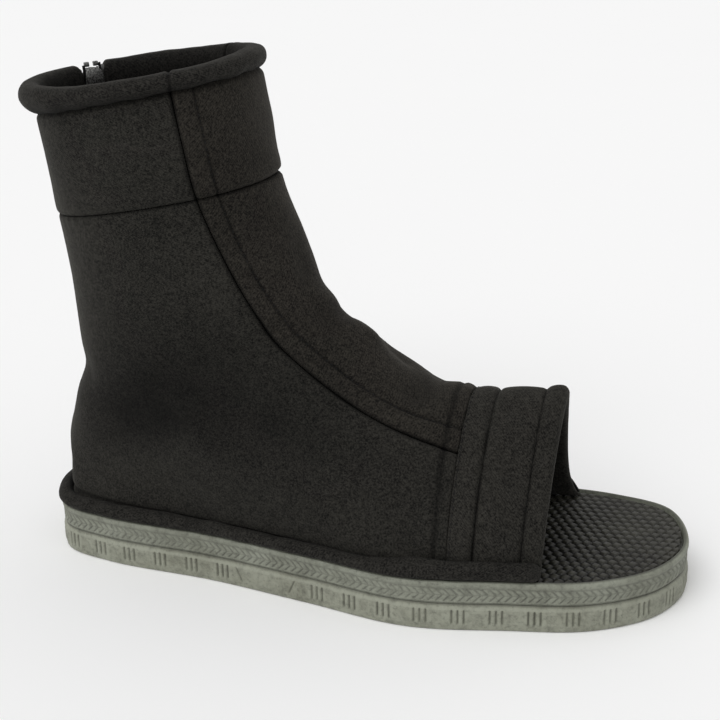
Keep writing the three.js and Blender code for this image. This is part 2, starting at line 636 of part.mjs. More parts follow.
const BAND_GAP = 0.004; // half of a gap along the band
const BAND_SPANS = steps(-1, 1, 20);
const bandSheet = (from, to, layer, rows = 3) =>
  sheetOf(steps(from + BAND_GAP, to - BAND_GAP, rows), BAND_SPANS, layer, bandAt);

// The hem is one cloth folded inwards over an elastic: its section is a U, open towards the ankle.
const HEM_CLOTH = 1.1;
const HEM_DEPTH = 4.2;

function toeHem() {
  const rear = HEM_SEAM + BAND_GAP;
  const fold = 1 - HEM_CLOTH / (HEM_ARCH.base - FIRST_ARCH.base);
  const innerFold = fold - 0.01;
  const under = HEM_DEPTH - HEM_CLOTH;
  const outside = [[rear, 0], [mix(rear, 1, 0.5), 0], [mix(rear, 1, 0.9), 0.1], [1, 1.2], [1, 3]];
  const inside = [[fold, HEM_DEPTH], [rear, HEM_DEPTH]];
  const lining = [[rear, under], [innerFold, under], [innerFold, HEM_CLOTH], [rear, HEM_CLOTH]];
  const profile = [...outside, ...inside, ...lining];
  const sections = BAND_SPANS.map((span) => profile.map(([along, depth]) => bandAt(along, span, depth)));
  const patches = [[0, 1, 9, 10], [1, 2, 3, 9], [3, 4, 8, 9], [4, 5, 8], [5, 6, 7, 8]];
  return tubeOf(sections, { patches });
}

const toeElastic = () => sheetOf([HEM_SEAM + 0.02, 0.95], BAND_SPANS, [1.5, 2.7], bandAt);

// ---------------------------------------------------------------- rand

// A rolled strip of cloth against the foot of the upper, from the hem round the heel to the hem.
// It is taller under the toe band.
const RAND_HEIGHT = { heel: 4.6, toe: 6.6 };
const RAND_THICKNESS = { heel: 6.8, side: 6.3, toe: 5.8 };

// Section of the strip: distance out as a part of its thickness, and height as a part of its height.
const RAND_PROFILE = [[1, 0], [1.04, 0.22], [1, 0.5], [0.85, 0.78], [0.5, 0.97]];

// The upper's outer surface at a height `up` above the sole. `reach` is 0 at the hem, 0.5 at the first
// arch and 1 at the heel.
function footPoint(side, reach, up) {
  if (reach >= 0.5) {
    const turn = side * reach;
    const rise = surface(LAST_LOOP - 0.2, turn).z - FEATHER_HEIGHT;
    return surface(LAST_LOOP - (0.2 * up) / rise, turn).setZ(FEATHER_HEIGHT + up);
  }
  const along = 1 - 2 * reach;
  const rise = up / (archHeight(along) - FEATHER_HEIGHT);
  const span = Math.acos(rise ** (archPower(side, along) / 2)) / (Math.PI / 2);
  return archPoint(along, side * span).setZ(FEATHER_HEIGHT + up);
}

function randSection([side, reach]) {
  const step = 0.004;
  const ahead = footPoint(side, Math.min(reach + step, 1), 0);
  const along = ahead.sub(footPoint(side, reach - step, 0)).normalize();
  const outwards = new THREE.Vector3(side * along.y, -side * along.x, 0);
  const toeShare = smooth((0.54 - reach) / 0.05);
  const height = mix(RAND_HEIGHT.heel, RAND_HEIGHT.toe, toeShare);
  const heelShare = smooth((reach - 0.8) / 0.15);
  const rear = mix(RAND_THICKNESS.side, RAND_THICKNESS.heel, heelShare);
  const thickness = mix(rear, RAND_THICKNESS.toe, toeShare);
  const at = (out, share) => footPoint(side, reach, share * height).addScaledVector(outwards, out);
  const clear = 2 * GAP;
  const outside = RAND_PROFILE.map(([out, share]) => at(out * thickness, share));
  return [at(clear, 0), ...outside, at(clear, 1), at(clear, 0.5)];
}

function randPiping() {
  const reaches = [...steps(0.01, 0.48, 8), ...steps(0.51, 0.995, 26)];
  const outer = reaches.map((reach) => [-1, reach]);
  const inner = [...reaches].reverse().map((reach) => [1, reach]);
  return tubeOf([...outer, ...inner].map(randSection));
}

// ---------------------------------------------------------------- sole pieces

// Levels of the sole's side: height above the ground, and inset from the outline.
const OUTSOLE_LEVELS = [[0, 0.4], [0.6, -0.3], [3, -0.5], [9.2, -0.5], [10.2, 0.2], [GROOVE_HEIGHT, 0.5]];
const outsole = () => soleSlab(OUTSOLE_LEVELS);

function midsole() {
  const low = GROOVE_HEIGHT + GAP;
  const side = [[low, 0.5], [low + 1, 0], [RIM_HEIGHT - 1.4, 0]];
  const rim = [[RIM_HEIGHT - 0.4, 0.25], [RIM_HEIGHT, 1]];
  const recess = soleSlab([[RECESS_FLOOR, FOOTBED_INSET], [RIM_HEIGHT + 1, FOOTBED_INSET]]);
  return toGeometry(toSolid(soleSlab([...side, ...rim])).subtract(toSolid(recess)));
}

const boardTop = RECESS_FLOOR + GAP + BOARD_THICKNESS;
const lastingBoard = () =>
  soleSlab([[RECESS_FLOOR + GAP, FOOTBED_INSET + GAP], [boardTop, FOOTBED_INSET + GAP]], 60);
const footbed = () =>
  soleSlab([[boardTop + GAP, FOOTBED_INSET + GAP], [FOOTBED_TOP, FOOTBED_INSET + GAP + 0.3]], 72);

// ---------------------------------------------------------------- materials and assembly

const material = (color, roughness, metalness = 0) =>
  new THREE.MeshStandardMaterial({ color, roughness, metalness });

const CLOTH = material(0x242322, 0.9);
const ROLL_CLOTH = material(0x2b2a29, 0.85);
const LINING_CLOTH = material(0x1d1c1c, 0.95);
const FOAM = material(0x3c3b39, 0.95);
const SOLE_RUBBER = material(0x656b67, 0.7);
const SOLE_FOAM = material(0x7c837e, 0.75);
const FOOTBED_RUBBER = material(0x1c1917, 0.45);
const BOARD = material(0x6f6a60, 0.9);
const STIFF_PLASTIC = material(0x4a4845, 0.7);
const METAL = material(0xb9bab8, 0.3, 1);
const TAPE = material(0x191919, 0.9);

const pieces = [
  ["outsole", outsole, SOLE_RUBBER],
  ["midsole", midsole, SOLE_FOAM],
  ["lasting_board", lastingBoard, BOARD],
  ["footbed", footbed, FOOTBED_RUBBER],
  ["rand_piping", randPiping, ROLL_CLOTH],
  ["quarter_lateral", quarterLateral, CLOTH],
  ["quarter_medial_front", quarterMedialFront, CLOTH],
  ["quarter_medial_rear", quarterMedialRear, CLOTH],
  ["vamp_gusset", vampGusset, CLOTH],
  ["cuff_rear", cuffRear, CLOTH],
  ["cuff_front", cuffFront, CLOTH],
  ["cuff_medial", cuffMedial, CLOTH],
  ["collar_cover", collarCover, ROLL_CLOTH],
  ["collar_foam", collarFoam, FOAM],
  ["toe_band_rear", () => bandSheet(0, BAND_SEAM, OUTER_CLOTH), CLOTH],
  ["toe_band_front", () => bandSheet(BAND_SEAM, HEM_SEAM, OUTER_CLOTH), CLOTH],
  ["toe_hem", toeHem, CLOTH],
  ["toe_elastic", toeElastic, TAPE],
  ["lining_rear", liningRear, LINING_CLOTH],
  ["lining_front", liningFront, LINING_CLOTH],
  ["lining_medial", liningMedial, LINING_CLOTH],
  ["lining_toe", () => bandSheet(0.01, HEM_SEAM, LINING, 4), LINING_CLOTH],
  ["heel_counter", heelCounter, STIFF_PLASTIC],
  ["zipper_tape_front", () => zipTape(-1), TAPE],
  ["zipper_tape_rear", () => zipTape(1), TAPE],
  ["zipper_teeth_front", () => zipTeeth(-1), METAL],
  ["zipper_teeth_rear", () => zipTeeth(1), METAL],
  ["zipper_top_stop_front", () => zipTopStop(-1), METAL],
  ["zipper_top_stop_rear", () => zipTopStop(1), METAL],
  ["zipper_bottom_stop", zipBottomStop, METAL],
  ["zipper_slider", zipSlider, METAL],
  ["zipper_pull", zipPullTab, METAL],
];

const boot = new THREE.Group();
for (const [name, make, look] of pieces) {
  const mesh = new THREE.Mesh(make(), look);
  mesh.name = name;
  boot.add(mesh);
}
boot.position.x = -SOLE_LENGTH / 2;

export default boot;
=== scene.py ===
"""Looks of a black cloth ankle boot with an open toe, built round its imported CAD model.

Lengths are millimetres, measured along X from the back of the heel, and become metres when a mesh is
made. The upper is one analytic surface: `loop` runs from the collar (0) down to the sole (7), and
`turn` goes round each loop, 0 at the front, -1 and 1 both at the heel, negative on the outer side.
"""
import math

import bmesh
import bpy
import numpy as np
from mathutils import Matrix, Vector, noise


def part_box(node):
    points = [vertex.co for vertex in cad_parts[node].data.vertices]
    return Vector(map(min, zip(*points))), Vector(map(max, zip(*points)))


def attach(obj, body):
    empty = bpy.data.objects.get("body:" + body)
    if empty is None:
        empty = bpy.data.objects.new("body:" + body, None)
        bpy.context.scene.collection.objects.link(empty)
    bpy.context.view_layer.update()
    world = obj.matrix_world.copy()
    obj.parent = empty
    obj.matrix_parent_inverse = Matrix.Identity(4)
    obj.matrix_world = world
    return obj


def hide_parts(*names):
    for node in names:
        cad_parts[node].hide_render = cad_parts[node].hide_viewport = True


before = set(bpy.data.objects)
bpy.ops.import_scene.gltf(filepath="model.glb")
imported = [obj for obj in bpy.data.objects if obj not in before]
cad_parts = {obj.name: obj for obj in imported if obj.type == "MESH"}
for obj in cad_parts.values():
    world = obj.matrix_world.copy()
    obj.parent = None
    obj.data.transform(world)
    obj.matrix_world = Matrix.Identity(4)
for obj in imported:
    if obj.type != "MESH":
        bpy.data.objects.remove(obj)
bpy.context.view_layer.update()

# ---- sizes taken from the frame

METRE = 1000.0


def node_box(node):
    low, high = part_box(node)
    return np.array(low) * METRE, np.array(high) * METRE


SOLE_LOW, SOLE_HIGH = node_box("midsole")
HEEL_X = SOLE_LOW[0]
SOLE_LENGTH = SOLE_HIGH[0] - SOLE_LOW[0]
GROOVE_HEIGHT = node_box("outsole")[1][2]
RIM_HEIGHT = SOLE_HIGH[2]
FOOTBED_TOP = node_box("footbed")[1][2]
FEATHER_HEIGHT = node_box("rand_piping")[0][2]
GAP = 0.3
FOOTBED_INSET = node_box("footbed")[0][0] - HEEL_X - GAP

# ---- the design's shape values

WIDTH_STATIONS = [0.12, 0.3, 0.46, 0.62, 0.76, 0.88]
HALF_WIDTH_OUTER = [33.2, 37.2, 44.3, 51.4, 45, 36.6]
HALF_WIDTH_INNER = [34.1, 33, 32, 42.1, 45.4, 44.2]
UPPER_INSET = 5.5  # the upper meets the sole this far inside its outline

# Front point (x, z), back point (x, z), outer and inner half width, superellipse exponent.
LOOPS = [
    ((98.3, 208.5), (6.6, 192), 39, 39, 2.2),
    ((101.4, 188), (11.2, 168), 40, 39, 2.3),
    ((104, 166.6), (12, 150.4), 37, 37, 2.2),
    ((114, 144), (15, 112), 37, 36, 2.1),
    ((123.8, 123.6), (13.8, 78), 36, 35, 2),
    ((136.5, 109.3), (4.2, 50), 34, 34, 2),
]
ANKLE_SEAM = 2  # the loop where the cuff meets the panels below
LAST_LOOP = len(LOOPS) + 1
HEEL_BUNCHING = 1.5  # how closely the turns are packed round the heel
WAIST_PINCH = 0.97
INSTEP_DIP = (7, 0.3)  # how far the halfway loop sinks on top, and over how many turns it fades
ARCH_POWER = 1.75  # superellipse exponent of the arches over the toes
HEM_INNER_POWER = 1.35  # and of the hem's inner side
FIRST_ARCH = (185.6, 186.7, 82.3)  # x at the sole, x at the top, height
HEM_ARCH = (222, 225.4, 87)
HEM_FLARE = (4.5, 10)  # how far forward the hem's foot stands on the inner side, and the fading power
HEM_RECESS = 1.2  # and the hem sinks back by this much halfway up
BAND_SEAM = 0.27  # places along the toe band, from the first arch (0) to the hem (1)
HEM_SEAM = 0.77
FRONT_SEAM_TURNS = [0.328, 0.327, 0.317, 0.298, 0.27, 0.256, 0.272, 0.225]  # one for each loop
SECOND_LINE_TURNS = [0.26, 0.258, 0.25, 0.241, 0.216, 0.202, 0.21, 0.165]
OUTER_CLOTH = (0, 2)  # depths below the outer surface between which a layer lies
LINING = (3.9, 5)
ZIP_TAPE = (2.6, 3.3)
ZIP_TURN = 0.8
ZIP_END_LOOP = 3.6
ZIP_REACH = 0.17  # the surface is drawn straight within this many turns of the zip
SLIT_HALF_WIDTH = 6
LINING_CLEAR = 8  # the lining stops this far from the middle of the zip
SEAM_TURN = 0.0015  # half the gap left at a seam, in turns and in loops
SEAM_LOOP = 0.008
LEAST_CLOTH = 0.3  # no groove leaves the cloth thinner than this


# ---- small helpers


def mix(a, b, t):
    return a + (b - a) * t


def smooth(t):
    t = np.clip(t, 0, 1)
    return t * t * (3 - 2 * t)


def bell(x, width):
    """1 at zero, falling smoothly to nothing a couple of widths away."""
    return np.exp(-((x / width) ** 2))


def unit(vectors):
    return vectors / np.maximum(np.linalg.norm(vectors, axis=-1, keepdims=True), 1e-9)


def run_along(points):
    """Length along a path of points, from its start."""
    return np.concatenate([[0], np.cumsum(np.linalg.norm(np.diff(points, axis=0), axis=1))])


def catmull_rom(a, b, c, d, t):
    return 0.5 * (2 * b + (c - a) * t + (2 * a - 5 * b + 4 * c - d) * t**2 + (3 * b - a - 3 * c + d) * t**3)


def spline(values, place):
    """Uniform Catmull-Rom through numbers, with straight run-outs at both ends."""
    ends = np.array([2 * values[0] - values[1], *values, 2 * values[-1] - values[-2]], float)
    place = np.asarray(place, float)
    cell = np.clip(np.floor(place), 0, len(values) - 2).astype(int)
    return catmull_rom(*(ends[cell + k] for k in range(4)), place - cell)


def spread(length, fine_at, fine=0.45, coarse=1.7, reach=7.0):
    """Shares from 0 to 1 along a length, closer together near the given places."""
    at = np.linspace(0, length, 2000)
    nearest = np.abs(at[:, None] - np.array(fine_at)).min(1)
    step = mix(fine, coarse, smooth(nearest / reach - 0.4))
    count = np.concatenate([[0], np.cumsum(np.diff(at) / step[1:])])
    return np.interp(np.linspace(0, count[-1], int(count[-1]) + 1), count, at / length)


def rough(points, size, seed=0.0):
    """Smooth noise between about -1 and 1, with features of `size` millimetres."""
    flat = np.asarray(points).reshape(-1, 3) / size + seed
    values = [noise.noise(Vector(p)) for p in flat.tolist()]
    return np.array(values).reshape(np.asarray(points).shape[:-1])


# ---- sole outline


def closed_spline(corners, share):
    """Centripetal Catmull-Rom through a closed list of corners, at shares from 0 to 1."""
    count = len(corners)
    place = (np.asarray(share) % 1.0) * count
    cell = np.floor(place).astype(int) % count
    t = (place - np.floor(place))[:, None]
    p0, p1, p2, p3 = (corners[(cell + k) % count] for k in (-1, 0, 1, 2))
    d0, d1, d2 = (np.sqrt(np.linalg.norm(b - a, axis=1))[:, None] for a, b in ((p0, p1), (p1, p2), (p2, p3)))
    m1 = ((p1 - p0) / d0 - (p2 - p0) / (d0 + d1) + (p2 - p1) / d1) * d1
    m2 = ((p2 - p1) / d1 - (p3 - p1) / (d1 + d2) + (p3 - p2) / d2) * d1
    cubic = 2 * p1 - 2 * p2 + m1 + m2
    square = -3 * p1 + 3 * p2 - 2 * m1 - m2
    return p1 + m1 * t + square * t**2 + cubic * t**3


def sole_corners():
    def at(fraction, y):
        return (fraction * SOLE_LENGTH, y)

    outer = [at(f, -w) for f, w in zip(WIDTH_STATIONS, HALF_WIDTH_OUTER)]
    inner = [at(f, w) for f, w in zip(WIDTH_STATIONS, HALF_WIDTH_INNER)][::-1]
    heel_outer = at(0.032, -0.75 * HALF_WIDTH_OUTER[0])
    toe_outer = at(0.965, -0.63 * HALF_WIDTH_OUTER[5] + 4)
    toe_inner = at(0.965, 0.72 * HALF_WIDTH_INNER[5] + 4)
    heel_inner = at(0.035, 0.72 * HALF_WIDTH_INNER[0])
    corners = [at(0, 0), heel_outer, *outer, toe_outer, at(1, 6), toe_inner, *inner, heel_inner]
    return np.array(corners, float)


def outline(inset, share):
    """Points of the sole's outline moved inwards by `inset`, and the directions pointing inwards."""
    corners = sole_corners()
    along = unit(closed_spline(corners, share + 1e-4) - closed_spline(corners, share - 1e-4))
    inwards = np.stack([-along[:, 1], along[:, 0]], 1)
    return closed_spline(corners, share) + inwards * np.reshape(inset, (-1, 1)), inwards


def even_shares(count):
    """Shares of the outline that are evenly spaced along its length, and that length."""
    dense = np.linspace(0, 1, 4001)
    run = run_along(outline(0, dense)[0])
    return np.interp(np.arange(count) / count * run[-1], run, dense), run[-1]


# ---- outer surface of the upper

FOOTPRINT = outline(UPPER_INSET, np.arange(720) / 720)[0]


def footprint_path(side):
    keep = (np.sign(FOOTPRINT[:, 1]) == side) & (FOOTPRINT[:, 0] <= FIRST_ARCH[0])
    keep[0] = False
    path = FOOTPRINT[keep]
    if side < 0:
        path = path[::-1]
    path = np.vstack([path, FOOTPRINT[:1]])
    return path, run_along(path)


FOOTPRINT_PATHS = {side: footprint_path(side) for side in (-1, 1)}


def footprint_half_width(side, x):
    keep = (np.sign(FOOTPRINT[:, 1]) == side) & (FOOTPRINT[:, 0] > SOLE_LENGTH / 3)
    points = FOOTPRINT[keep]
    points = points[np.argsort(points[:, 0])]
    return np.abs(np.interp(x, points[:, 0], points[:, 1]))


def loop_point(loop, turn):
    front, back, outer, inner, power = loop
    angle = np.abs(turn) * np.pi
    share = (1 - np.sign(np.cos(angle)) * np.abs(np.cos(angle)) ** (2 / power)) / 2
    y = np.where(turn < 0, -outer, inner) * np.abs(np.sin(angle)) ** (2 / power)
    return np.stack([mix(front[0], back[0], share), y, mix(front[1], back[1], share)], -1)


def arch_power(side, along):
    return np.where(side > 0, mix(ARCH_POWER, HEM_INNER_POWER, along), ARCH_POWER)


def arch_point(along, span):
    """A point on an arch over the toes: `along` 0 at the first arch and 1 at the hem, `span` -1 to 1."""
    along, span = np.broadcast_arrays(along, span)
    side = np.where(span < 0, -1, 1)
    angle = np.abs(span) * np.pi / 2
    exponent = 2 / arch_power(side, along)
    rise = np.abs(np.cos(angle)) ** exponent
    spread = np.abs(np.sin(angle)) ** exponent
    base, top, height = (mix(a, b, along) for a, b in zip(FIRST_ARCH, HEM_ARCH))
    flare = np.where(side > 0, HEM_FLARE[0] * along, 0)
    recess = np.where(side > 0, HEM_RECESS * along, 0)
    x = mix(base, top, rise) + flare * (1 - rise) ** HEM_FLARE[1] - recess * np.sin(np.pi * rise)
    foot = base + flare
    half = np.where(side < 0, footprint_half_width(-1, foot), footprint_half_width(1, foot))
    return np.stack([x, side * half * spread, mix(FEATHER_HEIGHT, height, rise)], -1)


def base_point(turn):
    reach = np.abs(turn)
    side = np.where(turn < 0, -1, 1)
    arch = arch_point(0.0, side * np.minimum(reach * 2, 1))
    share = 1 - np.clip(2 - 2 * reach, 0, 1) ** HEEL_BUNCHING
    foot = np.empty_like(arch)
    foot[..., 2] = FEATHER_HEIGHT
    for s, (path, run) in FOOTPRINT_PATHS.items():
        for axis in (0, 1):
            place = np.interp(share * run[-1], run, path[:, axis])
            foot[..., axis] = np.where(side == s, place, foot[..., axis])
    return np.where((reach <= 0.5)[..., None], arch, foot)


def soft_surface(loop, turn):
    loop, turn = np.broadcast_arrays(loop, turn)
    shape = loop.shape
    loop, turn = loop.ravel(), turn.ravel()
    keys = [loop_point(entry, turn) for entry in LOOPS]
    base = base_point(turn)
    middle = mix(keys[-1], base, 0.5)
    middle[:, 1] *= WAIST_PINCH
    middle[:, 2] -= INSTEP_DIP[0] * smooth(1 - np.abs(turn) / INSTEP_DIP[1])
    keys = np.array([*keys, middle, base])
    keys = np.concatenate([2 * keys[:1] - keys[1:2], keys, 2 * keys[-1:] - keys[-2:-1]])
    cell = np.clip(np.floor(loop), 0, LAST_LOOP - 1).astype(int)
    t = (loop - cell)[:, None]
    pick = np.arange(len(loop))
    return catmull_rom(*(keys[cell + k, pick] for k in range(4)), t).reshape(*shape, 3)


ZIP_TOP = soft_surface(np.array(0.0), np.array(ZIP_TURN))
ZIP_END = soft_surface(np.array(ZIP_END_LOOP), np.array(ZIP_TURN))


def surface(loop, turn):
    """The upper's outer surface, drawn straight along the zip."""
    loop, turn = np.broadcast_arrays(np.asarray(loop, float), np.asarray(turn, float))
    turn = np.where(turn > 1, turn - 2, np.where(turn < -1, turn + 2, turn))
    point = soft_surface(loop, turn)
    own = soft_surface(loop, np.full_like(loop, ZIP_TURN))
    height = np.clip((own[..., 2] - ZIP_END[2]) / (ZIP_TOP[2] - ZIP_END[2]), 0, 1)[..., None]
    pull = np.where((height > 0) & (height < 1), mix(ZIP_END, ZIP_TOP, height) - own, 0)
    weight = np.where(turn > 0, 1 - smooth(np.abs(turn - ZIP_TURN) / ZIP_REACH), 0)
    return point + pull * weight[..., None]


def upper_frame(loop, turn):
    """Points of the outer surface and the directions out of it."""
    step = 0.02
    down = surface(np.minimum(loop + step, LAST_LOOP), turn) - surface(np.maximum(loop - step, 0), turn)
    around = surface(loop, turn + step) - surface(loop, turn - step)
    return surface(loop, turn), unit(np.cross(down, around))


def band_frame(along, span):
    step = 0.02
    forward = arch_point(along + step, span) - arch_point(along - step, span)
    across = arch_point(along, np.minimum(span + step, 1)) - arch_point(along, np.maximum(span - step, -1))
    return arch_point(along, span), unit(np.cross(forward, across))


def above_sole(points):
    points[..., 2] = np.maximum(points[..., 2], FEATHER_HEIGHT)
    return points


def front_seam(loop):
    return spline(FRONT_SEAM_TURNS, loop)


def turns_per_millimetre(loop):
    step = 0.01
    ahead = surface(loop, np.full_like(loop, ZIP_TURN + step))
    behind = surface(loop, np.full_like(loop, ZIP_TURN - step))
    return 2 * step / np.linalg.norm(ahead - behind, axis=-1)


def slit_turn(side, away, loop):
    loop = np.asarray(loop, float)
    return ZIP_TURN + side * away * turns_per_millimetre(loop)


def zip_edge(side, clear, loop):
    closing = smooth((np.asarray(loop) - ZIP_END_LOOP + 0.1) / 0.3)
    return mix(slit_turn(side, clear, loop), ZIP_TURN + side * SEAM_TURN, closing)


# ---- meshes


def grid_faces(rows, columns, offset=0, flip=False, wrap=False):
    r, c = np.meshgrid(np.arange(rows - 1), np.arange(columns if wrap else columns - 1), indexing="ij")
    here, after, nxt = r * columns, (r + 1) * columns, (c + 1) % columns
    quads = np.stack([here + c, here + nxt, after + nxt, after + c], -1).reshape(-1, 4) + offset
    return quads[:, ::-1] if flip else quads


def link(name, data):
    made = bpy.data.objects.new(name, data)
    bpy.context.scene.collection.objects.link(made)
    return made


def make_piece(name, points, faces, look, body="boot", replaces=True, uv=None, tint=None):
    """A piece from points in millimetres, which replaces the node of its own name.

    `uv` and `tint` give one value for each point.
    """
    mesh = bpy.data.meshes.new(name)
    metres = (np.asarray(points, float) + [HEEL_X, 0, 0]) / METRE
    mesh.from_pydata(metres.tolist(), [], [list(map(int, face)) for face in faces])
    bm = bmesh.new()
    bm.from_mesh(mesh)
    bmesh.ops.recalc_face_normals(bm, faces=bm.faces[:])
    bm.to_mesh(mesh)
    bm.free()
    if uv is not None:
        corners = np.empty(len(mesh.loops), int)
        mesh.loops.foreach_get("vertex_index", corners)
        layer = mesh.uv_layers.new(name="cloth")
        layer.data.foreach_set("uv", np.asarray(uv, np.float32)[corners].ravel())
    if tint is not None:
        mesh.attributes.new("tint", "FLOAT", "POINT").data.foreach_set("value", np.asarray(tint, np.float32))
    mesh.polygons.foreach_set("use_smooth", np.ones(len(mesh.polygons), bool))
    mesh.materials.append(look)
    piece = link(name, mesh)
    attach(piece, body)
    if replaces:
        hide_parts(name)
    return piece


def tube_uv(run, girth):
    """Cloth lengths along a tube and round it, for each of its points."""
    return np.stack(np.broadcast_arrays(run[:, None], girth[None]), -1).reshape(-1, 2)


def border(rows, columns):
    """Indices round the edge of a grid, in order."""
    index = np.arange(rows * columns).reshape(rows, columns)
    return np.concatenate([index[0, :-1], index[:-1, -1], index[-1, :0:-1], index[:0:-1, 0]])


def shell(name, outer, inner, look, uv=None, tint=None):
    """A closed sheet between two grids of points of one size; `tint` is a pair of grids."""
    rows, columns = outer.shape[:2]
    count = rows * columns
    edge = border(rows, columns)
    after = np.roll(edge, -1)
    side = np.stack([edge, edge + count, after + count, after], 1)
    faces = np.concatenate([grid_faces(rows, columns, flip=True), grid_faces(rows, columns, count), side])
    if uv is not None:
        uv = np.stack([uv, uv]).reshape(-1, 2)
    if tint is not None:
        tint = np.stack(tint).ravel()
    return make_piece(name, np.stack([outer, inner]).reshape(-1, 3), faces, look, uv=uv, tint=tint)


def cloth_lengths(points):
    """Lengths along the rows and down the columns of a grid, from its first corner."""
    along = np.linalg.norm(np.diff(points, axis=1), axis=2)
    down = np.linalg.norm(np.diff(points, axis=0), axis=2)
    across = np.pad(np.cumsum(along, 1), ((0, 0), (1, 0)))
    below = np.pad(np.cumsum(down, 0), ((1, 0), (0, 0)))
    return across, below


def combine(parts):
    """One list of points and faces from several."""
    points, faces, offset = [], [], 0
    for own_points, own_faces in parts:
        points.append(np.asarray(own_points, float))
        faces += [[index + offset for index in face] for face in own_faces]
        offset += len(own_points)
    return np.concatenate(points), faces


def loft(sections):
    """Points and faces of a tube through closed sections, with flat ends."""
    count, around = sections.shape[:2]
    ring = np.arange(around)
    ends = [ring[::-1].tolist(), (ring + (count - 1) * around).tolist()]
    return sections.reshape(-1, 3), [*grid_faces(count, around, wrap=True).tolist(), *ends]


def tube(centre, side, up, width, height, around):
    """A tube of oval section along a path: half its width along `side`, half its height along `up`."""
    width, height = np.reshape(width, (-1, 1)), np.reshape(height, (-1, 1))
    angles = np.arange(around) / around * 2 * np.pi
    lines = [centre + side * width * math.cos(a) + up * height * math.sin(a) for a in angles]
    return loft(np.stack(lines, 1))


def prism(corners, low, high, bevel):
    """A slab with bevelled edges: corners are (x, z), and it runs along y from low to high."""
    bm = bmesh.new()
    face = bm.faces.new([bm.verts.new((x, low, z)) for x, z in corners])
    made = bmesh.ops.extrude_face_region(bm, geom=[face])
    moved = [v for v in made["geom"] if isinstance(v, bmesh.types.BMVert)]
    bmesh.ops.translate(bm, verts=moved, vec=(0, high - low, 0))
    bmesh.ops.bevel(bm, geom=bm.edges[:], offset=bevel, segments=2, affect="EDGES", profile=0.5)
    bm.verts.index_update()
    points = np.array([v.co for v in bm.verts])
    faces = [[v.index for v in f.verts] for f in bm.faces]
    bm.free()
    return points, faces


def box(x, y, z, bevel):
    return prism([(x[0], z[0]), (x[1], z[0]), (x[1], z[1]), (x[0], z[1])], y[0], y[1], bevel)


THREAD_RADIUS = 0.32
THREAD_SUNK = 0.1


def stitches(path, out, pitch=2.6, length=1.8):
    """Thread stitches along a path of points, each a short capsule that dips at both ends."""
    run = run_along(path)
    share = np.linspace(0, 1, 6)
    arch = np.sin(share * np.pi)
    lift = THREAD_RADIUS * (0.9 * arch - 0.5) - THREAD_SUNK
    width = THREAD_RADIUS * (0.55 + 0.45 * arch)
    parts = []
    for start in np.arange(pitch / 2, run[-1] - length, pitch):
        at = start + share * length
        centre, normal = (np.stack([np.interp(at, run, row) for row in rows.T], 1) for rows in (path, out))
        normal = unit(normal)
        side = np.cross(unit(np.gradient(centre, axis=0)), normal)
        parts.append(tube(centre + normal * lift[:, None], side, normal, width, width, 6))
    return combine(parts)


# ---- materials


class Look:
    """A material under construction, with short ways to add nodes and wire them up."""

    def __init__(self, name, slot=None):
        self.material = bpy.data.materials.new(name)
        self.material.use_nodes = True
        self.tree = self.material.node_tree
        self.where = self.put("ShaderNodeTexCoord").outputs["Object"]

    def feed(self, node, inputs):
        """Gives each input of a node a value or a socket to link from."""
        for key, value in inputs.items():
            if isinstance(value, bpy.types.NodeSocket):
                self.tree.links.new(value, node.inputs[key])
            else:
                node.inputs[key].default_value = value
        return node

    def put(self, kind, inputs=None, **settings):
        node = self.tree.nodes.new(kind)
        for key, value in settings.items():
            setattr(node, key, value)
        return self.feed(node, inputs or {})

    def calc(self, operation, *values):
        return self.put("ShaderNodeMath", dict(enumerate(values)), operation=operation).outputs[0]

    def times(self, value, factor):
        return self.calc("MULTIPLY", value, factor)

    def total(self, first, *others):
        for other in others:
            first = self.calc("ADD", first, other)
        return first

    def noise(self, scale, detail=2.0, roughness=0.5):
        inputs = {"Vector": self.where, "Scale": scale, "Detail": detail, "Roughness": roughness}
        return self.put("ShaderNodeTexNoise", inputs).outputs["Fac"]

    def remap(self, value, low, high, to_low=0.0, to_high=1.0):
        inputs = {"Value": value, "From Min": low, "From Max": high, "To Min": to_low, "To Max": to_high}
        return self.put("ShaderNodeMapRange", inputs, clamp=True).outputs[0]

    def blend(self, factor, first, second, mode="MIX"):
        first, second = ((*value, 1) if isinstance(value, tuple) else value for value in (first, second))
        inputs = {0: factor, 6: first, 7: second}
        return self.put("ShaderNodeMix", inputs, data_type="RGBA", blend_type=mode).outputs[2]

    def tint(self):
        return self.put("ShaderNodeAttribute", attribute_name="tint").outputs["Fac"]

    def finish(self, inputs, height=None, rise=0.0, strength=1.0):
        """Wires up the shader, with a bump `rise` metres high, and returns the material."""
        if height is not None:
            bump = self.put("ShaderNodeBump", {"Height": height, "Distance": rise, "Strength": strength})
            inputs = {**inputs, "Normal": bump.outputs[0]}
        self.feed(self.tree.nodes["Principled BSDF"], inputs)
        return self.material


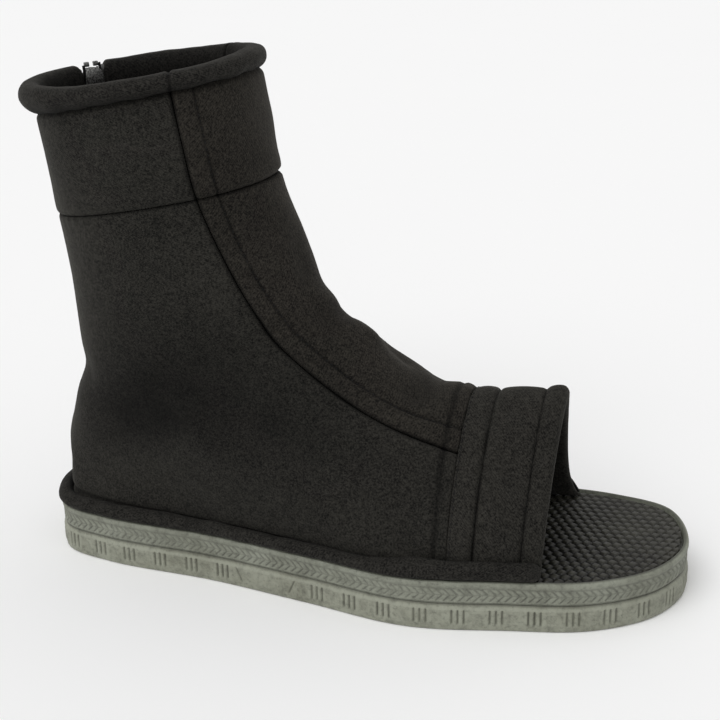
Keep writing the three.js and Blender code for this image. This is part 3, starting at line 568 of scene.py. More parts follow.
def cloth_look(name, dark, light, pitch=1.0, sheen=0.2, fuzz=1.0, slot=None):
    """Napped twill: diagonal ribs from the cloth's own lengths in millimetres, broken up by fluff.

    The attribute `tint` darkens the cloth below 0, with painted shade down in seams, folds and
    creases, and lightens it above 0, with painted light on some patches and a plain lift on the band.
    """
    look = Look(name, slot)
    uv = look.put("ShaderNodeUVMap", uv_map="cloth").outputs["UV"]
    lengths = look.put("ShaderNodeSeparateXYZ", {0: uv}).outputs
    wander = look.noise(320, 3)
    slant = look.total(lengths[0], look.times(lengths[1], 1.25), look.times(wander, 2.2 * pitch))
    rib = look.calc("SINE", look.times(slant, 2 * math.pi / (pitch * 1.3)))
    fluff = look.noise(1250, 3, 0.7)
    mottle = look.noise(420, 3, 0.6)
    patches = look.noise(30, 2, 0.5)
    tint = look.tint()
    tone = look.total(look.remap(fluff, 0.34, 0.66, -0.06, 0.92 * fuzz), look.times(rib, 0.1),
                      look.remap(mottle, 0.3, 0.7, -0.16, 0.18), look.remap(patches, 0.3, 0.7, -0.08, 0.08),
                      look.remap(tint, 0, 1, 0, 0.8))
    tone = look.put("ShaderNodeClamp", {0: tone}).outputs[0]
    shade = look.remap(tint, -1, 0, 0.06, 1)
    grey = look.put("ShaderNodeCombineXYZ", {0: shade, 1: shade, 2: shade}).outputs[0]
    return look.finish({
        "Base Color": look.blend(1.0, look.blend(tone, dark, light), grey, "MULTIPLY"),
        "Roughness": 0.92,
        "Specular IOR Level": 0.15,
        "Sheen Weight": look.times(shade, sheen),
        "Sheen Roughness": 0.45,
        "Sheen Tint": (*[min(1, c * 9 + 0.1) for c in light], 1),
    }, look.total(look.times(rib, 0.25), fluff), 0.00012, 0.9)


def rubber_look(name, base, dark, light, roughness, grain=1.0):
    """Moulded rubber: mottled, and darker down in its grooves (`tint` above 0); `tint` below 0 lightens
    it, with painted highlight on raised edges and painted light with some dust on the footbed's toes.
    """
    look = Look(name)
    fine = look.noise(700, 4, 0.7)
    broad = look.noise(45, 3, 0.6)
    blotch = look.noise(260, 3, 0.65)
    tint = look.tint()
    colour = base
    for value, low, high, most, towards in (
            (broad, 0.3, 0.72, 1, light), (blotch, 0.5, 0.72, 0.45, light), (blotch, 0.5, 0.28, 0.4, dark),
            (fine, 0.52, 0.7, 0.45, light), (fine, 0.48, 0.3, 0.5, dark), (tint, 0, 1, 1, dark),
            (tint, 0, -1, 1, light)):
        colour = look.blend(look.remap(value, low, high, 0, most), colour, towards)
    return look.finish({
        "Base Color": colour,
        "Roughness": look.remap(fine, 0.3, 0.7, roughness - 0.1, roughness + 0.12),
        "Specular IOR Level": 0.4,
    }, look.total(fine, look.times(blotch, 2.0)), 0.00012 * grain, 0.6)


def metal_look(name):
    look = Look(name)
    scuffs = look.noise(1500, 4, 0.7)
    return look.finish({
        "Base Color": look.blend(look.remap(scuffs, 0.38, 0.62), (0.04, 0.04, 0.038), (0.3, 0.3, 0.29)),
        "Roughness": look.remap(scuffs, 0.3, 0.7, 0.28, 0.46),
        "Metallic": 1,
    }, scuffs, 0.00002, 0.4)


def fibre_look(name, base, light, scale):
    """Board, foam or plastic inside the boot."""
    look = Look(name)
    grain = look.noise(scale, 4, 0.65)
    return look.finish({"Base Color": look.blend(grain, base, light), "Roughness": 0.85}, grain, 0.0001, 0.6)


UPPER_CLOTH = cloth_look("upper_cloth", (0.0024, 0.0023, 0.0019), (0.0315, 0.0298, 0.0252))
TRIM_CLOTH = cloth_look("trim_cloth", (0.0026, 0.0024, 0.0021), (0.0305, 0.0288, 0.025), 1.1, 0.14)
FRONT_CLOTH = cloth_look("front_cloth", (0.0025, 0.0022, 0.0017), (0.0322, 0.0288, 0.0234),
                         slot="upper_cloth")
LINING_CLOTH = cloth_look("lining_cloth", (0.005, 0.0048, 0.0045), (0.019, 0.018, 0.0165), 0.8, fuzz=0.7)
ZIP_CLOTH = cloth_look("zip_tape", (0.006, 0.006, 0.006), (0.022, 0.0215, 0.021), 0.6, fuzz=0.4)
THREAD = cloth_look("thread", (0.006, 0.006, 0.006), (0.03, 0.029, 0.027), 0.4, 0.1, 0.4, "upper_cloth")
SOLE_RUBBER = rubber_look("sole_rubber", (0.19, 0.194, 0.148), (0.05, 0.05, 0.038), (0.3, 0.31, 0.25), 0.62)
SOLE_FOAM = rubber_look("sole_foam", (0.17, 0.176, 0.138), (0.05, 0.051, 0.04), (0.26, 0.272, 0.222), 0.66)
FOOTBED_RUBBER = rubber_look("footbed_rubber", (0.0125, 0.011, 0.0075), (0.0012, 0.001, 0.0008),
                             (0.043, 0.042, 0.031), 0.4, grain=2.5)
ZIP_METAL = metal_look("zip_metal")

# ---- cloth relief


def segment_distance(points, start, end):
    axis = end - start
    share = np.clip(((points - start) @ axis) / (axis @ axis), 0, 1)
    return np.linalg.norm(points - start - share[..., None] * axis, axis=-1)


# Folds and hollows: where one starts and ends (loop, turn), half its width and its height, in mm.
FOLDS = [
    ((2.7, -0.12), (3.05, -0.03), 9, -1.3),
    ((1.6, 0), (1.9, 0.05), 8, 0.9),
    ((4.0, -0.21), (4.5, -0.17), 5, 1.1),
    ((4.69, -0.1), (4.88, 0.1), 6, -1.9),
    ((3.75, -0.05), (4.15, 0.1), 7, -1.6),
    ((5.35, 0.02), (5.5, 0.08), 4.5, 1.4),
    ((4.85, 0.0), (4.95, 0.08), 5, -1.2),
    ((5.5, 0.08), (5.85, 0.06), 5, -1.5),
    ((6.3, -0.12), (6.4, 0.12), 7, -2.4),
    ((6.84, -0.1), (6.84, 0.1), 4, 0.9),
    ((4.75, -0.42), (4.96, -0.58), 24, -2.5),
    ((6.4, -0.87), (5.5, -0.56), 13, 1.3),
    ((3.8, -0.94), (3.9, -0.82), 7, -1.3),
    ((4.3, -1.0), (4.35, -0.84), 9, 1.2),
]
FOLD_SHADE = 0.12  # painted shade: how much darker the cloth is for each millimetre down in a fold

# Patches of painted light and shade: both ends (loop, turn), half width, and how light or dark.
LIGHT_AND_SHADE_PATCHES = [
    ((4.9, -0.7), (5.6, -0.4), 25, -0.34),
    ((3.9, -0.6), (4.9, -0.5), 25, -0.17),
    ((6.2, -0.37), (5.6, -0.4), 14, -0.08),
    ((6.3, -0.82), (5.6, -0.6), 9, 0.2),
    ((2.8, -0.84), (3.7, -0.88), 9, 0.1),
    ((2.6, -0.35), (3.6, -0.3), 8, 0.1),
    ((3.0, -0.13), (3.6, -0.14), 9, 0.12),
]
RAND_CREASE = 5.6  # the cloth sinks along the top edge of the rand, at this height over its foot, with painted shade in that crease


def strokes(points, entries, place):
    """Sum of soft strokes, each drawn between two places with its half width and its amount."""
    total = np.zeros(points.shape[:-1])
    for start, end, width, amount in entries:
        total += amount * bell(segment_distance(points, place(*start), place(*end)), width)
    return total


def unevenness(points, least):
    """Strength of a seam, which comes and goes along it."""
    return np.clip(0.85 + 0.5 * rough(points, 11, 7.7), least, 1.15)


def undulation(points):
    return 0.45 * rough(points, 34) + 0.2 * rough(points, 13, 3.7) + 0.05 * rough(points, 4, 9.1)


def puff(away, width, height):
    """A low swelling beside an edge, highest at `width` from it."""
    return height * (away / width) * np.exp(1 - away / width)


def stitched(away, depth=0.75):
    return -depth * bell(away, 0.7) - 0.3 * bell(away, 2.2)


# How an edge is finished: width and height of its swelling, width and depth of its groove, and how
# dark and how wide its shade is.
EDGES = {
    "sewn": (3, 0.35, 0.8, 1.3, 0.85, 0.6),
    "cuff_foot": (5, 1.0, 0.9, 1.2, 0.75, 0.6),
    "under_cuff": (4, 0.35, 0.9, 1.0, 0.75, 0.6),
    "under_collar": (1, 0, 1.6, 1.5, 0.6, 1.5),
    "at_band": (1, 0, 0.9, 0.35, 0.3, 0.6),
    "plain": (1, 0, 1, 0, 0, 1),
}


def edge_relief(away, finish):
    width, height, groove_width, depth, *_ = EDGES[finish]
    return puff(away, width, height) - depth * bell(away, groove_width)


def pucker(away, run, size=6.0, height=0.16):
    """Small gathers along a seam."""
    wave = np.sin(2 * np.pi * run / size + 1.7 * np.sin(run / 11))
    return height * wave * np.exp(-away / 4)


def slit_edge(away, share):
    """Turned edge beside the zip (share 0), which becomes a seam below it (share 1)."""
    turned = -1.4 * bell(away, 0.7) + 0.35 * bell(away - 1.6, 1.2) + stitched(away - ZIP_STITCH, 0.4)
    return mix(turned, edge_relief(away, "sewn"), share)


def line_places(turns, across, loops, line):
    """Lengths along each row at which the stitch lines on both sides cross it."""
    return [np.array([np.interp(side * at, row, run) for at, row, run in zip(line(loops), turns, across)])
            for side in (-1, 1)]


def panel(name, loops, left, right, edges, look, line=None, layer=OUTER_CLOTH, detail=True):
    """A panel of the upper between two turns on each loop.

    `edges` names the finish of its left, right, top and bottom edge, and `line` gives the turn of a
    stitch line on each loop, for both sides.
    """
    rows = np.asarray(loops, float)[:, None]
    middle = rows[len(rows) // 2]
    width = run_along(surface(middle, mix(left(middle), right(middle), np.linspace(0, 1, 80))))[-1]
    fine_at = [0, 0.11 * width, 0.89 * width, width] if line else [0, width]
    shares = spread(width, fine_at) if detail else np.linspace(0, 1, int(width / 2))
    turns = mix(left(rows), right(rows), shares)
    loop = np.broadcast_to(rows, turns.shape)
    points, out = upper_frame(loop, turns)
    across, below = cloth_lengths(points)
    from_right, from_bottom = across[:, -1:] - across, below[-1:] - below
    ending = smooth((loop - ZIP_END_LOOP + 0.1) / 0.3)
    relief, tint, broad = (np.zeros(turns.shape) for _ in range(3))
    uneven = 1
    if detail:
        broad = np.clip(strokes(points, FOLDS, surface), -2.6, 3)
        patches = strokes(points, LIGHT_AND_SHADE_PATCHES, surface) * (1 + 0.4 * rough(points, 12, 5.1))
        crease = bell(from_bottom - RAND_CREASE, 1.3) * smooth((loop - 6) / 0.3)
        relief += undulation(points) - 0.9 * crease
        # painted shade in the folds and along the rand's crease, painted light and shade in the patches
        tint += FOLD_SHADE * np.minimum(broad, 0) + patches - 0.6 * crease
        uneven = unevenness(points, 0.3)
    sides = ((across, below), (from_right, below), (below, across), (from_bottom, across))
    for finish, (away, run) in zip(edges, sides):
        if finish == "slit":
            relief += slit_edge(away, ending)
            # painted shade in the turned edge beside the zip
            tint -= mix(0.3, 0.8, ending) * bell(away, 0.6)
            continue
        dark, dark_width = EDGES[finish][4:]
        fades = finish in ("cuff_foot", "under_cuff")
        strength = mix(0.4, 1, (1 + np.cos(np.pi * turns)) / 2) if fades else 1
        relief += edge_relief(away, finish) * strength
        # painted shade down in the seam
        tint -= dark * uneven * strength * bell(away, dark_width)
        if dark:
            relief += pucker(away, run)
    places = line_places(turns, across, rows[:, 0], line) if line else []
    for place in places:
        away = np.abs(across - place[:, None])
        relief += stitched(away) * uneven + pucker(away, below, 5, 0.12)
        # painted shade down in the stitch line
        tint -= 0.75 * uneven * bell(away, 0.6)
    shallow, deep = layer
    relief = np.clip(relief, LEAST_CLOTH - (deep - shallow), 4) + broad
    outer = above_sole(points + out * (relief - shallow)[..., None])
    inner = above_sole(points - out * (deep - np.minimum(broad, 0))[..., None])
    shell(name, outer, inner, look, np.stack([across, below], -1), (tint, tint))
    return {"outer": outer, "out": out, "across": across, "loop": rows[:, 0], "places": places}


def stitch_line(made, places, first, last):
    """Path down a panel at a length along each row, with the directions out of the cloth."""
    rows = [i for i, loop in enumerate(made["loop"]) if first <= loop <= last]

    across = made["across"]

    def along(grid):
        return np.array([[np.interp(places[i], across[i], line) for line in grid[i].T] for i in rows])

    return along(made["outer"]), along(made["out"])


def thread_piece(name, lines, **how):
    points, faces = combine([stitches(path, out, **how) for path, out in lines])
    make_piece(name, points, faces, THREAD, replaces=False)


# ---- panels of the upper

HEEL_SEAM_TURN = 1 - SEAM_TURN
ZIP_STITCH = 3.2  # from the turned edge beside the zip to its stitches
LINING_SEAM_SHIFT = 0.02  # the lining's seams lie behind cloth, not behind the outer seams


def second_line(loop):
    return spline(SECOND_LINE_TURNS, loop)


def front_edge(side, shift):
    """A panel's edge beside the front seam of one side."""
    return lambda loop: side * front_seam(loop) + shift


def slit_side(side, clear=SLIT_HALF_WIDTH, whole_turns=0):
    """A panel's edge beside the zip."""
    return lambda loop: zip_edge(side, clear, loop) - whole_turns


def heel_edge(side):
    return lambda loop: np.full_like(loop, side * HEEL_SEAM_TURN)


def upper_panels():
    cuff = mix(0, ANKLE_SEAM - SEAM_LOOP, spread(45, [0, 45], 0.5))
    foot = mix(ANKLE_SEAM + SEAM_LOOP, LAST_LOOP - 0.002, spread(140, [0, 140], 0.5))
    outer, inner = front_edge(-1, -SEAM_TURN), front_edge(1, SEAM_TURN)
    gusset = (front_edge(-1, SEAM_TURN), front_edge(1, -SEAM_TURN))
    on_cuff, on_foot = ("under_collar", "cuff_foot"), ("under_cuff", "at_band")
    plan = {
        "cuff_rear": (cuff, outer, slit_side(1, whole_turns=2), ("sewn", "slit", *on_cuff)),
        "cuff_front": (cuff, *gusset, ("sewn", "sewn", *on_cuff), FRONT_CLOTH, second_line),
        "cuff_medial": (cuff, inner, slit_side(-1), ("sewn", "slit", *on_cuff)),
        "quarter_lateral": (foot, outer, heel_edge(-1), ("sewn", "sewn", *on_foot)),
        "quarter_medial_front": (foot, inner, slit_side(-1), ("sewn", "slit", *on_foot)),
        "quarter_medial_rear": (foot, heel_edge(1), slit_side(1), ("sewn", "slit", "under_cuff", "plain")),
        "vamp_gusset": (foot, *gusset, ("sewn", "sewn", *on_foot), FRONT_CLOTH, second_line),
    }
    return {name: panel(name, *(entry if len(entry) > 4 else (*entry, UPPER_CLOTH)))
            for name, entry in plan.items()}


def stitching(panels):
    """Thread down both second lines of the front and beside the zip, between two loops of each panel."""
    front, beside_zip = [], []
    for name, first, last in (("cuff_front", 0.15, 1.9), ("vamp_gusset", 2.1, 6.95)):
        front += [stitch_line(panels[name], places, first, last) for places in panels[name]["places"]]
    for name, first, last in (("cuff_rear", 0.1, 1.9), ("cuff_medial", 0.1, 1.9),
                              ("quarter_medial_front", 2.1, 3.6), ("quarter_medial_rear", 2.1, 3.6)):
        made = panels[name]
        beside_zip.append(stitch_line(made, made["across"][:, -1] - ZIP_STITCH, first, last))
    thread_piece("topstitch_front", front)
    thread_piece("topstitch_zip", beside_zip)


def linings():
    rows = np.linspace(0.005, LAST_LOOP - 0.02, 80)
    shift = SEAM_TURN + LINING_SEAM_SHIFT
    overlap = LINING_SEAM_SHIFT - SEAM_TURN
    for name, left, right in (
            ("lining_rear", front_edge(-1, -shift), slit_side(1, LINING_CLEAR, 2)),
            ("lining_front", front_edge(-1, -overlap), front_edge(1, overlap)),
            ("lining_medial", front_edge(1, shift), slit_side(-1, LINING_CLEAR))):
        panel(name, rows, left, right, ("plain",) * 4, LINING_CLOTH, layer=LINING, detail=False)


# ---- toe band

BAND_GAP = 0.0015
BAND_LIGHTER = 0.1  # the band's cloth is a little lighter
HEM_CLOTH = 1.1
HEM_DEPTH = 4.2
BAND_STITCH_ROW = 4

# Folds of the band: place along it and span at both ends, half width and height in mm.
BAND_FOLDS = [
    ((0.3, -0.53), (0.62, -0.74), 2.4, -1.5),
    ((0.36, -0.47), (0.72, -0.66), 3.0, 1.0),
    ((0.3, -0.44), (0.74, -0.48), 2.6, -0.8),
    ((0.28, -0.3), (0.5, -0.2), 3.0, -0.7),
    ((0.8, -0.4), (0.95, -0.46), 3.0, -0.6),
]


def band_spans(count=190):
    """Places across the arch, closer together towards the sole."""
    even = np.linspace(-1, 1, count)
    return np.sin(even * np.pi / 2) * 0.35 + even * 0.65


def band_folds(points):
    wavy = 0.3 * rough(points, 16, 2.2) + 0.2 * rough(points * [0.45, 1, 1], 6, 5.5)
    return wavy + strokes(points, BAND_FOLDS, arch_point)


def seam_line(away, depth):
    """Relief across a seam of the band, on one side of it."""
    return -depth * bell(away, 0.9) - 0.3 * depth * bell(away, 2.4)


def crown_of(spans):
    """1 over the toes, 0 low down at both sides."""
    return smooth(1 - np.abs(spans) / 0.75)


def toe_strip(name, start, end, hump, depths, look=None, layer=OUTER_CLOTH, rows=44):
    """A strip of the band, swollen by `hump` between its seams; `depths` are those seams' depths."""
    along = np.linspace(start + BAND_GAP, end - BAND_GAP, rows)[:, None]
    spans = np.broadcast_to(band_spans(), (rows, len(band_spans())))
    points, out = band_frame(np.broadcast_to(along, spans.shape), spans)
    across, below = cloth_lengths(points)
    middle = across[:, len(across[0]) // 2][:, None]
    relief = tint = np.zeros(spans.shape)
    if hump:
        crown = crown_of(spans)
        swell = np.sin(np.pi * np.clip(below / below[-1:], 0, 1)) ** 0.6
        gathers = np.sin(across / 2.3 + 1.5 * np.sin(across / 9)) * np.minimum(1, 1.2 - swell)
        relief = band_folds(points) + hump * swell * mix(0.4, 1, crown) + 0.22 * gathers * mix(0.3, 1, crown)
        tint = tint + BAND_LIGHTER
        uneven = unevenness(points, 0.35)
        for away, depth in zip((below, below[-1:] - below), depths):
            depth = depth * uneven * mix(1, 0.45, crown)
            relief = relief + seam_line(away, depth)
            # painted shade down in the seam, deeper for a deeper groove
            tint = tint - np.minimum(0.7 * depth, 0.75) * bell(away, 0.6)
    shallow, deep = layer
    relief = np.clip(relief, LEAST_CLOTH - (deep - shallow), 5)
    outer = above_sole(points + out * (relief - shallow)[..., None])
    inner = above_sole(points - out * deep)
    shell(name, outer, inner, look or UPPER_CLOTH, np.stack([across - middle, below], -1), (tint, tint))
    return outer, out


def toe_hem():
    """One cloth folded inwards over the elastic: a U in section, open towards the ankle."""
    width = HEM_ARCH[0] - FIRST_ARCH[0]
    rear = HEM_SEAM + BAND_GAP
    bend = 1 - HEM_DEPTH / 2 / width
    flat = mix(rear, bend, spread(7, [0], 0.35, 0.8, 2))[:-1]

    def bent(radius):
        """One face of the folded cloth, from its outer layer round the bend to its inner layer."""
        turned = [(bend + radius / width * math.sin(t), HEM_DEPTH / 2 - radius * math.cos(t))
                  for t in np.linspace(0, np.pi, 9)]
        return [*((a, HEM_DEPTH / 2 - radius) for a in flat), *turned,
                *((a, HEM_DEPTH / 2 + radius) for a in flat[::-1])]

    profile = np.array(bent(HEM_DEPTH / 2) + bent(HEM_DEPTH / 2 - HEM_CLOTH)[::-1])
    spans = band_spans()
    along = np.broadcast_to(profile[:, 0], (len(spans), len(profile)))
    depth = np.broadcast_to(profile[:, 1], along.shape)
    points, out = band_frame(along, np.broadcast_to(spans[:, None], along.shape))
    crown = crown_of(spans)[:, None]
    run = run_along(points[:, 0])
    from_seam = (along - rear) * width
    swell = 1.1 * np.sin(np.pi * np.clip(from_seam / (width * (1 - rear)), 0, 1)) ** 0.7
    gathers = 0.2 * np.sin(run / 2.1 + 1.3 * np.sin(run / 8))[:, None] * mix(0.3, 1, crown)
    skin = swell * mix(0.4, 1, crown) + gathers + band_folds(points)
    skin = skin + seam_line(from_seam, 0.8 * mix(1, 0.45, crown))
    outside_share = np.clip(1 - depth / HEM_DEPTH, 0, 1)
    moved = above_sole(points + out * (skin * outside_share - depth)[..., None])
    points, faces = loft(moved)
    uv = tube_uv(run, run_along(moved[len(spans) // 2]))
    # painted shade at the seam, on the outside of the fold only
    tint = (BAND_LIGHTER - 0.55 * bell(from_seam, 0.6)) * (depth < HEM_CLOTH / 2)
    make_piece("toe_hem", points, faces, UPPER_CLOTH, uv=uv, tint=tint.ravel())


def toe_band():
    outer, out = toe_strip("toe_band_rear", 0, BAND_SEAM, 0.9, (0.3, 1.4))
    toe_strip("toe_band_front", BAND_SEAM, HEM_SEAM, 0.7, (1.4, 0.8))
    toe_strip("lining_toe", -0.05, HEM_SEAM, 0, (0, 0), LINING_CLOTH, LINING, 12)
    toe_hem()
    thread_piece("topstitch_band", [(outer[BAND_STITCH_ROW], out[BAND_STITCH_ROW])], pitch=3.0, length=2.2)


# ---- rand

RAND_HEIGHT = (4.6, 6.6)  # at the heel and under the toe band
RAND_THICKNESS = (6.8, 6.3, 5.8)  # at the heel, along the side and under the toe band
RAND_GIRTH_AT = 200  # the section whose girth lays out the cloth

# Section: distance out as a part of the thickness, height as a part of the height, and tint, which
# is painted shade where the strip tucks in at its foot and its top.
RAND_PROFILE = [
    (0.12, 0, -0.8), (0.6, 0, -0.8), (0.9, 0.02, -0.5), (1.02, 0.1, 0), (1.08, 0.25, 0), (1.08, 0.42, 0),
    (1.02, 0.58, 0), (0.94, 0.74, 0), (0.8, 0.88, 0), (0.6, 0.98, 0), (0.42, 1, -0.3), (0.28, 0.95, -0.9),
    (0.14, 0.8, -1), (0.12, 0.5, -1),
]


def foot_point(side, reach, up):
    """The upper's outer surface at a height above the sole: reach is 0 at the hem, 1 at the heel."""
    turn = side * reach
    rise = surface(np.full_like(reach, LAST_LOOP - 0.2), turn)[:, 2] - FEATHER_HEIGHT
    back = surface(LAST_LOOP - 0.2 * up / rise, turn)
    along = 1 - 2 * np.minimum(reach, 0.5)
    height = mix(FIRST_ARCH[2], HEM_ARCH[2], along) - FEATHER_HEIGHT
    span = np.arccos((up / height) ** (arch_power(side, along) / 2)) / (np.pi / 2)
    point = np.where((reach >= 0.5)[:, None], back, arch_point(along, side * span))
    point[:, 2] = FEATHER_HEIGHT + up
    return point


def rand():
    """A rolled strip of cloth with an uneven top edge, taller under the toe band."""
    half = np.concatenate([np.linspace(0.004, 0.5, 90)[:-1], np.linspace(0.5, 0.9985, 330)])
    reach = np.concatenate([half, half[::-1]])
    side = np.repeat([-1, 1], len(half))
    level = np.zeros(len(reach))
    foot = foot_point(side, reach, level)
    ahead, behind = (foot_point(side, np.minimum(reach + step, 1), level) for step in (0.002, -0.002))
    towards = unit(ahead - behind)
    outwards = np.stack([side * towards[:, 1], -side * towards[:, 0], level], 1)
    run = run_along(foot)
    toe = smooth((0.54 - reach) / 0.05)
    height = mix(*RAND_HEIGHT, toe) + 0.6 * rough(foot, 15, 4.4) + 0.3 * rough(foot, 6, 8.8)
    heel_thickness, side_thickness, toe_thickness = RAND_THICKNESS
    rear = mix(side_thickness, heel_thickness, smooth((reach - 0.8) / 0.15))
    thickness = mix(rear, toe_thickness, toe) + 0.35 * rough(foot, 9, 1.3)
    ending = np.sqrt(smooth(np.minimum(run, run[-1] - run) / 3))
    sections = []
    for out, up, _ in RAND_PROFILE:
        at = foot_point(side, reach, height * up * mix(0.5, 1, ending))
        sections.append(at + outwards * (thickness * mix(0.3, 1, ending) * out)[:, None])
    sections = np.stack(sections, 1)
    points, faces = loft(sections)
    uv = tube_uv(run, run_along(sections[RAND_GIRTH_AT]))
    tint = np.broadcast_to([entry[2] for entry in RAND_PROFILE], sections.shape[:2]).ravel()
    make_piece("rand_piping", points, faces, TRIM_CLOTH, uv=uv, tint=tint)


# ---- collar

COLLAR_HALF_THICKNESS = 4.8
COLLAR_HALF_HEIGHT = (3.8, 6.3)  # at the front and at the back
COLLAR_OUTER_LESS = 1.2  # flatter by this much on the outer side
COLLAR_INNER_MORE = 0.4  # and taller by this much on the inner side
COLLAR_OVERHANG = (2, 6.2)  # how far it stands outside the cuff, at the front and at the back
COLLAR_END = 4.9
COLLAR_FOOT = 4.9  # where round the section the roll is sewn to the cuff, in radians
COLLAR_LEAN = 2.6  # at the back the bottom of the roll is drawn in by this much
COLLAR_INSIDE_SHADE = 0.4  # painted shade: the inside of the roll is darker by this much


def collar():
    """The stuffed roll round the top, sewn shut at both ends beside the zip."""
    rear = float(slit_turn(1, COLLAR_END, 0.0)) - 2
    front = float(slit_turn(-1, COLLAR_END, 0.0))
    count, around = 420, 40
    turns = np.linspace(rear, front, count)
    rim, out = upper_frame(np.zeros(count), turns)
    outwards = unit(out * [1, 1, 0])
    backness = (1 - np.cos(turns * np.pi)) / 2
    innerness = np.sin(turns * np.pi)
    half_height = mix(*COLLAR_HALF_HEIGHT, backness)
    half_height += innerness * np.where(innerness > 0, COLLAR_INNER_MORE, COLLAR_OUTER_LESS)
    middle = rim + outwards * (mix(*COLLAR_OVERHANG, backness) - COLLAR_HALF_THICKNESS)[:, None]
    middle[:, 2] += half_height + GAP
    run = run_along(middle)
    from_end = np.minimum(run, run[-1] - run)
    closing = np.sqrt(np.clip(1 - (1 - np.clip(from_end / 2.5, 0, 1)) ** 2, 0.3, 1))
    seam_run = np.interp([-float(front_seam(0)), float(front_seam(0))], turns, run)
    seams = sum(0.9 * bell(run - place, 0.8) - 0.3 * bell(run - place, 3) for place in seam_run)
    angles = np.pi + np.arange(around) / around * 2 * np.pi
    sections, tints = [], []
    for angle in angles:
        sine, cosine = math.sin(angle), math.cos(angle)
        power = 2.6 if sine > 0 else 2.0
        scale = (abs(cosine) ** power + abs(sine) ** power) ** (-1 / power)
        across = COLLAR_HALF_THICKNESS * scale * cosine
        lean = COLLAR_LEAN * max(-sine, 0) ** 2 * backness
        at = middle + outwards * (across * mix(0.45, 1, closing) - lean)[:, None]
        at[:, 2] += half_height * scale * sine * closing
        from_foot = math.remainder(angle - COLLAR_FOOT, 2 * math.pi)
        at[:, 2] -= 0.8 * bell(from_foot, 0.8)
        direction = outwards * cosine
        direction[:, 2] = sine
        creases = 0.25 * np.sin(run / 2.4 + 1.6 * np.sin(run / 13)) * bell(from_foot - 0.3, 0.9)
        dents = seams * smooth(2.4 + 3 * sine)  # none underneath, where light would show through
        lumps = 0.35 * rough(at, 18, 6.1) + 0.14 * rough(at, 6, 2.9) + creases - dents
        sections.append(at + unit(direction) * lumps[:, None])
        # painted shade on the inside of the roll, in the crease where it is sewn to the cuff, and in its
        # seams
        inside = COLLAR_INSIDE_SHADE * smooth(-1.4 * cosine - 0.1)
        at_seams = sum(bell(run - place, 0.7) for place in seam_run)
        tints.append(-0.8 * bell(from_foot, 0.7) - inside - 0.6 * at_seams)
    sections = np.stack(sections, 1)
    points, faces = loft(sections)
    uv = tube_uv(run, angles * 5.2)
    piece = make_piece("collar_cover", points, faces, TRIM_CLOTH, uv=uv, tint=np.stack(tints, 1).ravel())


# ---- sole

SOLE_COLUMNS = 1900


def sole_wall(levels, pattern):
    """A solid inside the outline through levels of (height, inset), and its tint."""
    shares, length = even_shares(SOLE_COLUMNS)
    levels = np.array(levels, float)
    heights = np.repeat(levels[:, :1], SOLE_COLUMNS, axis=1)
    run = np.arange(SOLE_COLUMNS) / SOLE_COLUMNS * length
    relief, tint = pattern(run[None], heights, length)
    ring, inwards = outline(0, shares)
    flat = ring[None] + inwards[None] * (levels[:, 1:] - relief)[..., None]
    return loft(np.concatenate([flat, heights[..., None]], -1)), tint.ravel()


def dense(levels, step=0.35):
    """The same broken line with a point every `step`."""
    levels = np.array(levels, float)
    run = run_along(levels)
    places = np.unique(np.concatenate([run, np.arange(0, run[-1], step)]))
    return np.stack([np.interp(places, run, levels[:, k]) for k in (0, 1)], 1)


def groove(away, half_width, edge=0.25):
    """1 inside a groove, 0 outside it."""
    return 1 - smooth((np.abs(away) - half_width) / edge + 0.5)


def wave(x, period):
    """Distance from the nearest multiple of a period."""
    return np.abs((x + period / 2) % period - period / 2)


HERRINGBONE = (12.8, 18.4)  # heights between which the slanted dashes lie
DASH_PITCH = 3.0
LIP = 19.0
RIM_DARKENING = 0.75  # the flat top of the rim is darker by this much
BLOCK_PERIOD = 14.8
BARS = 3
BAR_SPACING = 2.4
BAR_START = 1.6
PANEL_MIDDLE = (10.8, 5.9)  # of the square panel: place in its period, and height
PLAIN_AT = 0.201  # the waist's plain stretch, as a part of the way round from the heel
PLAIN_HALF_LENGTH = 15.5


def midsole_pattern(run, height, length):
    """Two rows of slanted dashes under a smooth lip, and a thin double line at the foot."""
    low, high = HERRINGBONE
    pitch = length / round(length / DASH_PITCH)
    middle = (low + high) / 2
    slope = np.where(height > middle, 1.0, -1.0)
    inside = smooth((height - low) / 0.4) * smooth((high - height) / 0.4)
    split = groove(height - middle, 0.16)
    dash = groove(wave(run + slope * (height - middle), pitch), 0.4, 0.7) * inside * (1 - split)
    lines = groove(height - 12.35, 0.13)
    lip = smooth((height - LIP) / 0.5) * smooth((RIM_HEIGHT - height) / 0.6)
    relief = 0.3 * lip - 0.35 * dash - 0.2 * split * inside - 0.3 * lines
    worn = mix(0.5, 1, smooth(0.5 + 0.5 * np.sin(run / 17) + 0.3 * np.sin(run / 5.3)))
    tint = 0.6 * dash * worn + 0.3 * split * inside + 0.5 * lines + 0.4 * bell(height - high - 0.2, 0.35)
    rim = smooth((height - RIM_HEIGHT + 0.3) / 0.3)
    return relief, np.clip(tint + 0.45 * bell(height - 11.7, 0.35) + RIM_DARKENING * rim, 0, 1)


